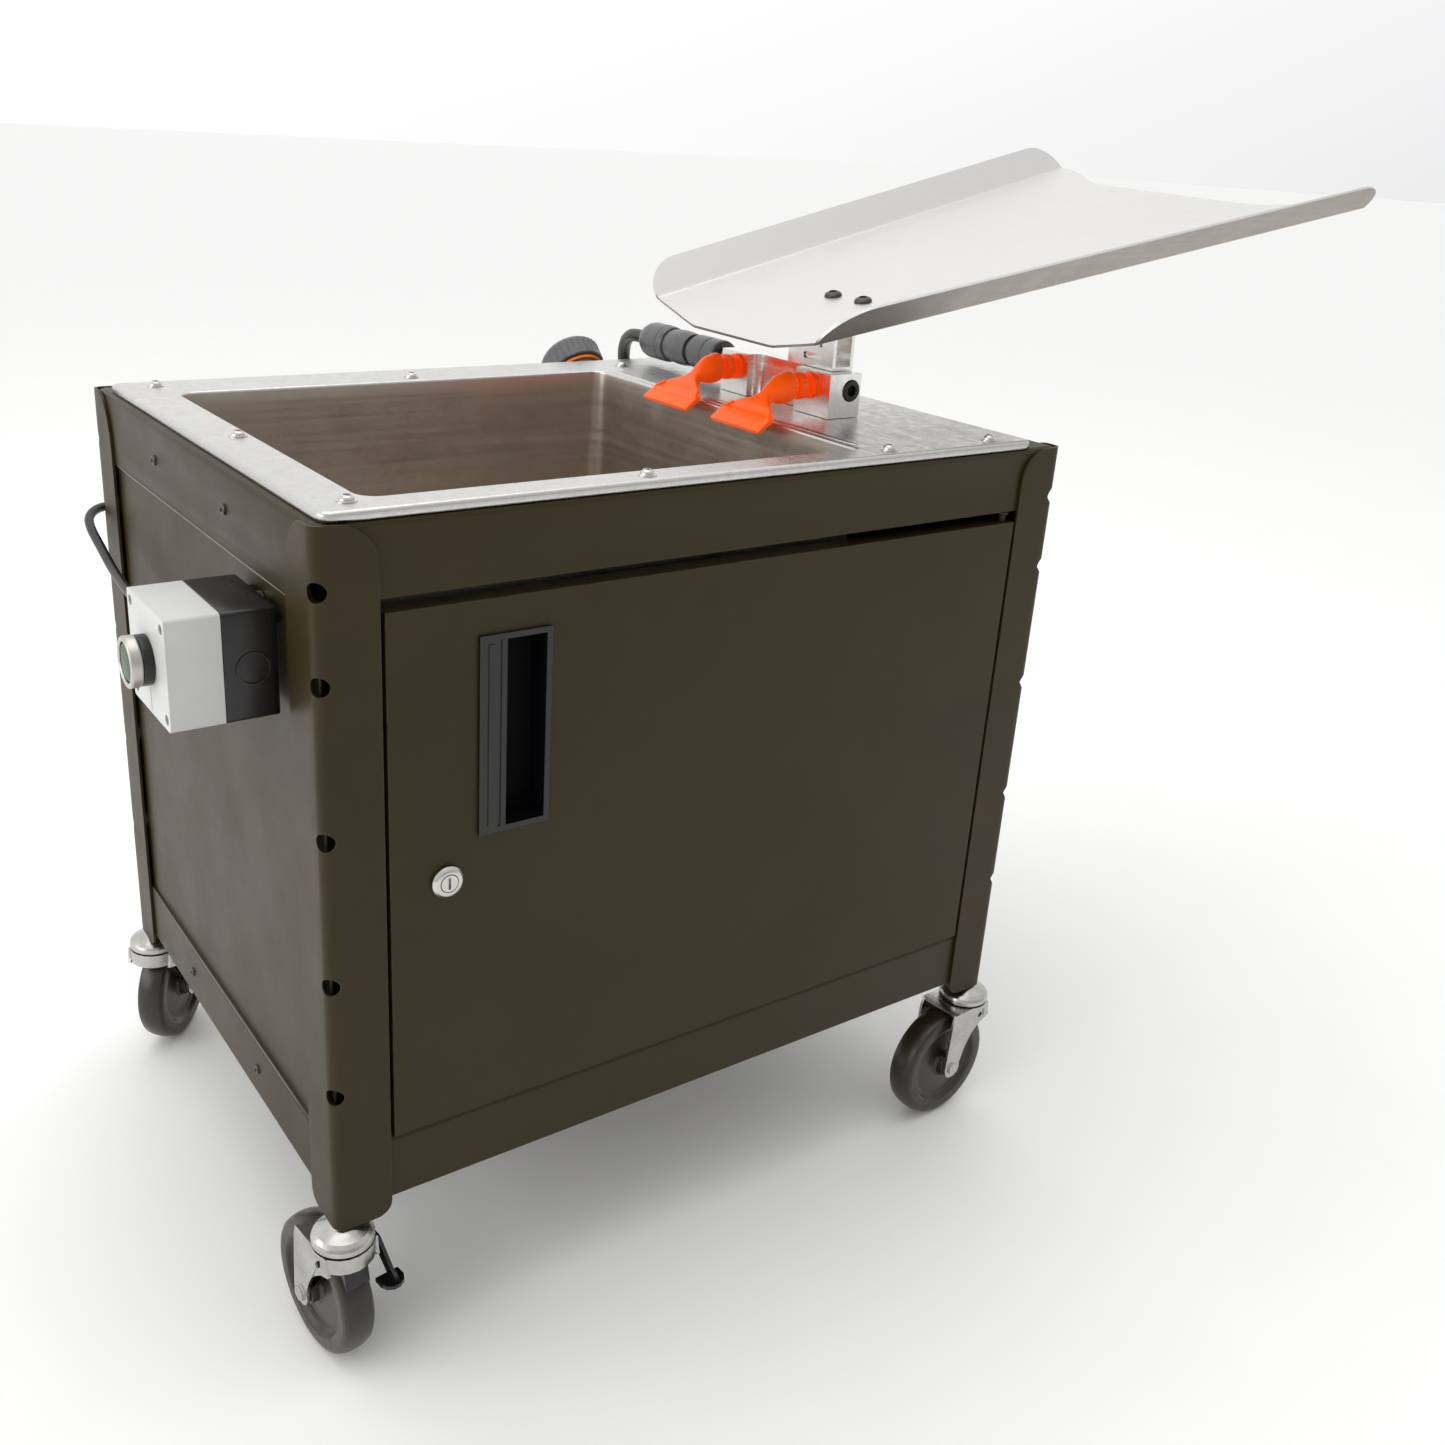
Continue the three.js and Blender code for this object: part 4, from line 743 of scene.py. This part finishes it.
def nozzle(name, y):
    """Ball-jointed segments and a leaning tip, moulded in acetal."""
    face, z, ball = 169, 639, 6.2
    at, out = (face, y, z), (-1, 0, 0)

    def ball_line(centre, start, end, steps=8, r=ball):
        return arc(0, centre, r, r, start, end, steps)

    def flats(a, r, h):
        return hexed(a, 9.1) if 0.2 < h < 3.1 and r > 8 else r

    def notches(a, r, h):
        return r - 1.1 * max(0, cos(6 * a)) ** 12 if r > 9.6 else r
    turned(f"nozzle_{name}_seat", [(2.8, -10), (6, -10), (6, 0.3), (10.5, 0.3), (10.5, 3.1),
        (4.3, 3.8)] + ball_line(11.5, -48, 56) + [(2.8, 16.9)], at, out, ORANGE, "root",
        f"nozzle_{name}_base", 60, 0.3, True, wave=flats)
    socket = ball + 0.4
    turned(f"nozzle_{name}_segment", [(socket * cos(0.62), 11.5 - socket * sin(0.62)), (8.6, 7.1),
        (10.0, 8.2), (10.4, 9.0), (10.4, 13.8), (9.6, 14.8), (8.2, 15.6), (5.6, 16.8),
        (4.3, 17.3)] + ball_line(23.5, -48, 56) + [(2.8, 28.9), (2.8, 17.7)] + ball_line(11.5, 62, -30, 8,
        socket)[:-1], at, out, ORANGE, "ring_" + name, f"nozzle_{name}_ring", 96, 0.3, True, wave=notches)
    second, droop = face - 23.5, radians(20)
    neck = Vector((second - 20 * cos(droop), y, z - 20 * sin(droop)))
    lip = Vector((96, y, 611.5))
    along = (lip - neck).normalized()
    lean, depth = atan2(-along.z, -along.x), (lip - neck).length
    normal = Vector((along.z, 0, -along.x))
    rings = []

    def section(centre, half_y, half_n, tilt, square, cuts=0.0):
        """One loop round the tip: a circle at the bulb, squarer along the fan."""
        ring = []
        for a in around(72):
            c, s = cos(a), sin(a)
            grow = 1 - cuts * max(0, cos(6 * a)) ** 12
            cy = copysign(abs(c) ** (2 / square), c) * half_y * grow
            cn = copysign(abs(s) ** (2 / square), s) * half_n * grow
            ring.append((centre[0] - sin(tilt) * cn, y + cy, centre[2] + cos(tilt) * cn))
        rings.append(ring)

    # The socket inside, then the notched collar in line with the ring before it.
    for a in (86, 66, 46, 26, 6, -14, -35.5):
        d, r = socket * sin(radians(a)), socket * cos(radians(a))
        section((second - d, y, z), r, r, 0.0, 2)
    for d, r, cuts in ((-4.6, 9.2, 0), (-4.3, 9.8, 0.03), (-3.2, 11.0, 0.09), (-2.4, 11.5, 0.10),
            (-1.2, 11.9, 0.10)):
        section((second - d, y, z), r, r, 0.0, 2, cuts)
    # The pear-shaped bulb turns down to its own line and narrows to the neck.
    for h, r, turn, cuts in ((0.6, 11.9, 8, 0.08), (1.6, 11.3, 14, 0.02), (2.8, 11.5, 18, 0),
            (4.4, 11.7, 20, 0), (6.6, 11.3, 20, 0), (9, 10.7, 20, 0), (11.5, 9.8, 20.5, 0), (14, 8.8, 22, 0)):
        section((second - h * cos(droop), y, z - h * sin(droop)), r, r, radians(turn), 2, cuts)
    for h, wide, thick, turn in ((16, 8.1, 7.6, 25), (18, 7.5, 6.3, 29), (20, 7.2, 5.2, 32.5)):
        section((second - h * cos(droop), y, z - h * sin(droop)), wide, thick, radians(turn), 2.3)
    # The fan: straight shoulders, a valley across it, a raised band and a thin lip.
    for d, wide, thick in ((2.5, 7.6, 4.5), (5, 9.2, 4.1), (7.5, 12.2, 3.95), (10, 15.9, 3.85),
            (12.5, 19.8, 3.7), (14, 22.1, 3.4), (15.5, 24.4, 2.7), (17, 26.7, 2.1), (18.6, 29.0, 1.75),
            (19.8, 30.3, 1.6), (20.8, 30.9, 1.65), (21.6, 31, 1.9), (22.4, 31, 2.5), (23.2, 31, 2.95),
            (24, 31, 3.05), (29, 31, 2.45), (33, 31, 2.0), (35, 31, 1.75), (depth - 0.6, 31, 1.6),
            (depth, 30.6, 1.3)):
        section(neck + along * d, wide, thick, lean, 2.6 + 4.4 * min(1, d / 14))
    tip = loft(f"nozzle_{name}_fan", rings, ORANGE, "tip_" + name, f"nozzle_{name}_tip", (True, True), 42)
    cut_block(tip, lip - along * 3, along, Vector((0, 1, 0)), normal, 8, 57, 0.9)
    verts, faces = [], []
    for k in range(13):
        spot = neck + along * 27.2 + Vector((0, (k - 6) * 4.2, 0)) + normal * 2.45
        first = len(verts)
        for r, h in ((0.9, 0), (0.75, 0.35), (0.4, 0.6)):
            for a in around(10):
                verts.append(tuple(spot + along * r * cos(a) + Vector((0, r * sin(a), 0)) + normal * h))
        for ring in (0, 10):
            faces += [[first + ring + j, first + ring + (j + 1) % 10, first + ring + (j + 1) % 10 + 10,
                first + ring + j + 10] for j in range(10)]
        faces += [[first + start + j for j in range(10)] for start in (20, 0)]
    place(f"nozzle_{name}_marks", verts, faces, ORANGE, "tip_" + name, None, 40)
    for side in (-1, 1):
        start = neck + along * 15 + Vector((0, side * 23.2, 0)) + normal * 2.5
        end = neck + along * 24 + Vector((0, side * 29.4, 0)) + normal * 2.6
        rib = [tuple(start.lerp(end, t / 8)) for t in range(9)]
        bead(f"nozzle_{name}_rib_{'n' if side < 0 else 'f'}", rib, 1.3, ORANGE, "tip_" + name)


def cut_block(piece, centre, a, b, c, la, lb, lc):
    """Cuts a small block with these three directions and lengths out of a piece."""
    ends = (-1, 1)
    corners = [W(*(centre + a * la / 2 * i + b * lb / 2 * j + c * lc / 2 * k))
        for i in ends for j in ends for k in ends]
    faces = [(0, 1, 3, 2), (4, 6, 7, 5), (0, 4, 5, 1), (2, 3, 7, 6), (0, 2, 6, 4), (1, 5, 7, 3)]
    mesh = bpy.data.meshes.new("block")
    mesh.from_pydata(corners, [], faces)
    shade(mesh, 30)
    subtract(piece, mesh)


manifold()
nozzle("front", -80)
nozzle("rear", 16)


# ---- chute
def chute():
    """A folded sheet: a tapering floor between two wings with rounded ends and a scooped high end."""
    slope, roll = radians(11.5), radians(2.3)
    along = Vector((cos(slope), 0, sin(slope)))
    across = Quaternion(along, roll) @ Vector((0, 1, 0))
    normal = along.cross(across)
    base = Vector((185, -34, 698.4))
    low, high, low_half, high_half, flange, bend = -64.8, 505.0, 102.7, 173.2, 33.3, radians(46.6)
    radius, low_round, high_round, scoop_depth = 3.0, 38, 34, 43

    def at(s, w, n):
        return tuple(base + along * s + across * w + normal * n)

    length = hypot(high - low, high_half - low_half)

    def wing_top(t):
        """How far the wing reaches from its fold at a distance along it."""
        d = t * length
        if d < low_round:
            return flange * sqrt(max(0.0, 1 - ((low_round - d) / low_round) ** 2)) if d > 0 else 0.0
        if d > length - high_round:
            return flange * sqrt(max(0.0, 1 - ((d - length + high_round) / high_round) ** 2))
        return flange

    ends = [0.0004, 0.0015, 0.005, 0.01, 0.018, 0.028, 0.04, 0.053, 0.066]
    ts = ends + [0.066 + (0.94 - 0.066) * i / 24 for i in range(1, 24)]
    ts += [1 - 0.93 * e for e in reversed(ends)]

    def scoop(w_part):
        past = max(0.0, (abs(w_part) - 0.45) / 0.55)
        return scoop_depth * (1 + cos(pi * min(1, past))) / 2

    floor_parts = [-1 + 2 * i / 40 for i in range(41)]
    # The floor's low end runs out to two corners and its high end is scooped.
    out = []
    for t in ts:
        s0 = low + (high - low) * t
        half = low_half + (high_half - low_half) * t
        height, fold = wing_top(t), radius * tan(bend / 2)
        r = radius * min(1.0, height / 6) + 0.01
        inner = half - r * tan(bend / 2)

        def wing(side):
            """From the wing's free edge down to the fold, then through the bend."""
            line = []
            for k in range(8, 0, -1):
                d = max(fold + (height - fold) * k / 8, 0.02 * k)
                line.append((side * (half + d * cos(bend)), d * sin(bend), 0.0))
            for a in (1, 0.75, 0.5, 0.25, 0):
                line.append((side * (inner + r * sin(bend * a)), r * (1 - cos(bend * a)), 0.0))
            return line
        ring = wing(-1) + [(part * inner, 0.0, part) for part in floor_parts[1:-1]] + wing(1)[::-1]
        line = []
        for w, n, part in ring:
            s = s0
            if n == 0.0 and (part != 0.0 or abs(w) < 1e-6):
                if t < 0.2:
                    s += (low_edge(w / half * low_half, low, low_half) - low) * (1 - t / 0.2)
                if t > 0.75:
                    s -= scoop(part) * (t - 0.75) / 0.25
            line.append(at(s, w, n))
        out.append(line)
    piece = loft("chute_sheet", out, SHEET, "root", "chute", (False, False), 50, False)
    up = sum(f.normal.z * f.area for f in piece.data.polygons)
    if up < 0:
        piece.data.flip_normals()
    thicken(piece, 2.0, False)
    bake(piece)
    # The outer faces get the darker copy of the sheet: painted shade.
    second_finish(piece, SHEET_PAINTED_SHADE, lambda face: face.normal.dot(normal) < 0.1)
    bevel(piece, 0.45, 2, 55)
    for i, (x, y) in enumerate(((213, -48), (216, -81))):
        s = (x - base.x) / along.x
        w = y - base.y
        screw(f"chute_screw_{i + 1}", at(s, w, 0.1), tuple(normal), DARK_SCREW, 14.5, 4.2, 0, 3.0)


def low_edge(w, low, half):
    """How far the low end of the floor runs out at a place across it."""
    corners = [(-half, low), (-81, low - 24), (12, low - 29), (half, low)]
    for (a, sa), (b, sb) in zip(corners, corners[1:]):
        if a <= w <= b:
            return sa + (sb - sa) * (w - a) / (b - a)
    return low


chute()


# ---- control box
def control_box():
    front, y0, y1, z0, z1 = -372, -172, -98, 478, 548
    by, bz = -135, 513
    refine("control_box_base", BLACK, "root", 0.8, 3, 30)
    cover = bake(refine("control_box_cover", PALE, "root", 1.1, 4, 30))
    for i, (y, z) in enumerate(((y0 + 6.5, z0 + 7), (y1 - 6.5, z0 + 7), (y0 + 6.5, z1 - 7),
            (y1 - 6.5, z1 - 7))):
        hole(cover, (front, y, z), (-1, 0, 0), 3.3, 5.2)
        screw(f"box_screw_{i + 1}", (front + 2.7, y, z), (-1, 0, 0), DARK_SCREW, 6.2, 1.1, 0, 1.4)
    turned("box_standoff", [(0.001, 0), (5.6, 0), (5.6, 5.2), (0.001, 5.2)], (-300.4, -133, 540), (-1, 0, 0),
        ZINC, "root", None, 48, 0.4)
    seam = [(y0 + 36.6, z0 + 2), (y0 + 37.4, z0 + 2), (y0 + 37.4, z0 + 17), (y0 + 36.6, z0 + 17)]
    plate("cover_mark", seam, "x", front - 0.35, front + 0.4, PALE, "root", 0.15)
    ring = [(10.9, 0), (10.9, 0.9), (9.3, 0.9), (9.3, 0)]
    turned("knockout_ring", ring, (-321, y0, 511), (0, -1, 0), BLACK, "root", None, 60, 0.1, True)
    at, out = (front, by, bz), (-1, 0, 0)

    def knurl(a, r, h):
        return r - 0.35 * max(0, cos(40 * a)) if 1.2 < h < 5.6 and r > 15 else r
    refine("button_body", BLACK, "root", 0.3, 2, 40)
    turned("button_collar_grip", [(15.2, 0.35), (15.7, 0.9), (15.7, 5.9), (15.2, 6.45), (14.9, 6.45),
        (14.9, 0.35)], at, out, BLACK, "root", None, 160, 0.15, True, wave=knurl)
    turned("button_ring", [(12.6, 6.8), (15.4, 6.8), (16, 7.8), (16, 12.4), (15.6, 13.6), (14.8, 14),
        (13.3, 14), (12.6, 13.2)], at, out, SATIN, "root", "button_bezel", 96, 0.35, True)
    turned("button_lens", [(0.001, -9.5), (8, -9.5), (8, 10.8), (12.2, 10.8), (12.2, 12.2), (11.2, 13.0),
        (7, 13.45), (0.001, 13.6)], at, out, LENS, "button", "button_cap", 96, 0.4)

    def gland(a, r, h):
        if 0.4 < h < 5.8 and r > 8:
            return hexed(a, 8.2)
        return r - 0.3 * max(0, cos(16 * a)) if 7.4 < h < 13 and r > 7.5 else r
    turned("gland_nut", [(4, -4), (5.9, -4), (5.9, 0.3), (9, 0.5), (9, 5.8), (8, 6.6), (8, 13), (7.2, 15.2),
        (6.2, 16), (4, 16)], (-322, y1, 500), (0, 1, 0), BLACK, "root", "cable_gland", 96, 0.25, True,
        wave=gland)


def rear_fittings():
    at, out = (151, 258, 606), (0, 0.777, 0.629)
    refine("fill_neck", GREY, "root", 0.6, 3, 40)
    turned("neck_seal", [(20.3, -17), (25.6, -17), (26.2, -15.4), (25.6, -13.8), (20.3, -13.8)], at, out,
        SEAL, "root", "fill_seal", 96, 0.5, True)

    def ribs(a, r, h):
        return r + 1.0 * max(0, cos(36 * a)) ** 3 if -11.4 < h < 5.4 and r > 28.2 else r
    turned("cap_shell", [(0.001, -7.6), (20.4, -7.6), (20.4, -13.4), (28.2, -13.4), (28.9, -12.2),
        (28.9, 4.6), (28.2, 7), (24.8, 10.4), (20.4, 12.3), (16.6, 12.6), (15, 13.5), (8, 14.2),
        (0.001, 14.4)], at, out, GREY, "cap", "fill_cap", 288, 0.5, wave=ribs)
    for i in range(4):
        a = pi / 4 + i * pi / 2
        screw(f"foot_screw_{i + 1}", (151 + 23.5 * cos(a), 230.2, 579 + 23.5 * sin(a)), (0, 1, 0), NICKEL,
            5.4, 1.8, 0, 1.3)
    refine("hose_elbow", BRASS, "root", 0.5, 3, 40)
    turned("hose_clip", [(6.1, -4), (7.3, -4), (7.3, 4), (6.1, 4)], (218, 245, 504), (0, 0, 1), ZINC, "root",
        None, 60, 0.2, True)


control_box()
rear_fittings()


# ---- inside
PUMP_Y, PUMP_Z = 20, 250


def inside():
    refine("reservoir", POLY, "root", 2.0, 4, 30)
    refine("pump_head", GREY, "root", 1.0, 3, 40)
    refine("pump_motor", MOTOR, "root", 1.2, 3, 40)
    for i in range(6):
        a = pi / 6 + i * pi / 3
        screw(f"pump_bolt_{i + 1}", (100, PUMP_Y + 34 * cos(a), PUMP_Z + 34 * sin(a)), (-1, 0, 0), ZINC, 6,
            2.4, 0, 1.5)
    for k in range(14):
        x = 146 + 5.6 * k
        turned(f"motor_fin_{k + 1}", [(37.8, 0), (39.4, 0.3), (39.4, 1.5), (37.8, 1.8)], (x, PUMP_Y, PUMP_Z),
            (1, 0, 0), MOTOR, "root", None, 72, 0.2, True)


inside()


# ---- casters
CASTER_X, CASTER_Y, TRAIL, WHEEL_RADIUS = 296, 217.5, 27, 50.8
HEADINGS = {"front_left": 96.5, "front_right": 184, "back_left": 48, "back_right": 20}
FORK_EDGE = {(-19, 91): (-14.5, 93.5), (-18, 86): (-4, 89), (-10, 76): (6, 81), (8, 60): (13.5, 69)}


def hollow_edge(fork, spot, along):
    """Draws the front edge of the fork's plates in to a hollow curve that narrows down to the axle."""
    foot = W(spot.x, spot.y, 0)
    for vertex in fork.data.vertices:
        offset = (vertex.co - foot) * 1000
        for (x, z), (new_x, new_z) in FORK_EDGE.items():
            if abs(offset.dot(along) - x) < 0.3 and abs(offset.z - z) < 0.3:
                vertex.co += (along * (new_x - x) + Vector((0, 0, new_z - z))) / 1000


def caster(name):
    sx, sy = CORNERS[name]
    short = name[0] + name.split("_")[1][0]
    spot = Vector((sx * CASTER_X, sy * CASTER_Y, 0))
    a = radians(HEADINGS[name])
    u, v = Vector((cos(a), sin(a), 0)), Vector((-sin(a), cos(a), 0))
    turned("caster_top_" + name, [(0.001, 107.4), (18.4, 107.4), (21.0, 108.0), (21.6, 109.0), (21.6, 112.4),
        (20.6, 114.4), (18, 116.6), (13.5, 118.8), (9, 121.4), (9, 122.6), (6, 122.6), (6, 123.7), (4, 123.7),
        (4, 158.6), (0.001, 158.6)], tuple(spot), (0, 0, 1), ZINC, "root", "caster_stem_" + name, 72, 0.5)
    fork = refine("caster_fork_" + name, ZINC, "swivel_" + short, 0.6, 3, 30)
    hollow_edge(fork, spot, u)
    at = spot + u * TRAIL + Vector((0, 0, WHEEL_RADIUS))
    tread = [(WHEEL_RADIUS - 1.9 * (k / 6) ** 2.2, 9.8 * k / 6) for k in range(7)]
    half = [(4.8, 16.4), (9.2, 16.4), (10, 15.6), (10.6, 10.5), (13, 8.6), (31.5, 7.6), (34.4, 8.4),
        (36.4, 11.2), (38, 11.9), (44.6, 12), (47.2, 11.3)]
    line = [(r, -h) for r, h in half] + [(r, -h) for r, h in reversed(tread)][:-1]
    line += [(r, h) for r, h in tread] + [(r, h) for r, h in reversed(half)]
    turned("caster_wheel_" + name, line, tuple(at), tuple(v), WHEEL, "wheel_" + short, "wheel_" + name, 96,
        0.8, True)


for corner in CORNERS:
    caster(corner)
refine("brake_lever_front_left", ENAMEL, "brake_fl", 0.5, 2, 35)
refine("brake_lever_back_right", ENAMEL, "brake_br", 0.5, 2, 35)


# ---- cords
def smooth_route(points, count):
    """Even steps along a centripetal Catmull-Rom curve through points in millimetres."""
    pts = [Vector(p) for p in points]
    pts = [pts[0] * 2 - pts[1]] + pts + [pts[-1] * 2 - pts[-2]]
    line = []
    for i in range(1, len(pts) - 2):
        p = pts[i - 1:i + 3]
        t = [0.0]
        for a, b in zip(p, p[1:]):
            t.append(t[-1] + max(1e-6, (b - a).length ** 0.5))
        for k in range(12):
            s = t[1] + (t[2] - t[1]) * k / 12

            def blend(a, b, start, end):
                return a * ((end - s) / (end - start)) + b * ((s - start) / (end - start))
            a = [blend(p[j], p[j + 1], t[j], t[j + 1]) for j in range(3)]
            b = [blend(a[j], a[j + 1], t[j], t[j + 2]) for j in range(2)]
            line.append(blend(b[0], b[1], t[1], t[2]))
    line.append(pts[-2])
    gone = [0.0]
    for a, b in zip(line, line[1:]):
        gone.append(gone[-1] + (b - a).length)
    even, j = [], 0
    for i in range(count + 1):
        want = gone[-1] * i / count
        while j < len(gone) - 2 and gone[j + 1] < want:
            j += 1
        t = (want - gone[j]) / max(1e-9, gone[j + 1] - gone[j])
        even.append(line[j].lerp(line[j + 1], min(1, max(0, t))))
    return even, gone[-1]


def cable(name, points, count, diameter, finish, node):
    """A round cord along a smooth route."""
    route, length = smooth_route(points, count)
    data = bpy.data.curves.new(name, "CURVE")
    data.dimensions, data.bevel_depth, data.bevel_resolution = "3D", diameter / 2000, 8
    data.use_fill_caps = True
    spline = data.splines.new("POLY")
    spline.points.add(len(route) - 1)
    for point, at in zip(spline.points, route):
        point.co = (*W(*at), 1)
    data.materials.append(finish)
    piece = join_frame(show(name, data), "root", node)


cable("button_cable", [(-322, -81.6, 500), (-322, -62, 499), (-322.5, -30, 493), (-323, 10, 485),
    (-322.5, 55, 479), (-321.5, 100, 479.5), (-320.5, 140, 483), (-319.5, 180, 491.5), (-319, 213, 501.5),
    (-316.7, 224.7, 505.5), (-310.1, 234.6, 508.5), (-300.2, 241.2, 509.5), (-288.5, 243.5, 508.5),
    (-268.1, 243.5, 503), (-256.5, 241.2, 498.6), (-246.6, 234.6, 494.5), (-233.7, 221.7, 489)], 120, 7.2,
    JACKET, "control_cable")
cable("rear_hose", [(191, 185.4, 637.5), (191, 196.6, 637.5), (191.2, 204, 637.5), (193, 216.9, 635.8),
    (196.1, 229, 630.8), (200.1, 239.4, 622.9), (204.5, 247.3, 612.5), (208.9, 252.3, 600.4),
    (212.9, 254, 587.5), (218, 251.7, 556.1), (218, 247.3, 523.8), (218, 245, 492.4)], 90, 12, HOSE,
    "wash_hose")
cable("inner_hose", [(117, 44, 312.3), (117, 44, 345), (122, 60, 385), (150, 100, 425), (196, 140, 456),
    (216, 172, 469), (218, 192, 470), (218, 206.6, 470)], 80, 12, HOSE, "supply_hose")


# ---- light and floor
def soft_light(name, at, aim, width, height, watts):
    data = bpy.data.lights.new(name, "AREA")
    data.shape, data.size, data.size_y, data.energy = "RECTANGLE", width, height, watts
    lamp = show(name, data)
    lamp.location = at
    lamp.rotation_euler = (Vector(aim) - Vector(at)).to_track_quat("-Z", "Y").to_euler()
    lamp.visible_camera = False


def studio():
    """A pale floor under a white world: the world is brightest overhead and behind the machine, and dimmer in
    front of it.
    """
    bpy.context.scene.view_settings.view_transform = "Standard"
    world = bpy.data.worlds.new("studio")
    bpy.context.scene.world = world
    n = Nodes(world, "Background", "Generated")
    dot = n.add("VectorMath", operation="DOT_PRODUCT")
    put(dot, (1, (-0.05, 0.62, 0.40)))
    n.join(n.place, dot.inputs[0])
    level = n.add("SeparateXYZ")
    n.join(n.place, level.inputs["Vector"])
    glow = n.spread(dot.outputs["Value"], 0.54, 1.12, -0.5, 0.55)
    rise = n.spread(level.outputs["Z"], 0.895, 1.0, 0.0, 0.3)
    n.feed(n.maths("MULTIPLY", glow, rise), "Color")
    put(n.shader, ("Strength", 1.0))
    soft_light("key_left", (-2.9, 0.3, 1.25), (0, 0, 0.3), 2.6, 1.3, 24)
    soft_light("top_soft", (-0.2, 0.2, 2.9), (0, 0, 0.4), 2.6, 2.2, 20)
    mesh = reshape(bpy.data.meshes.new("floor"),
        lambda work: bmesh.ops.create_grid(work, x_segments=2, y_segments=2, size=40))
    mesh.materials.append(finish_of("studio_floor", 0xFAFAF9, 0.6, vary=0.008, grain=40, relief=0.02))
    floor = show("floor", mesh)


studio()
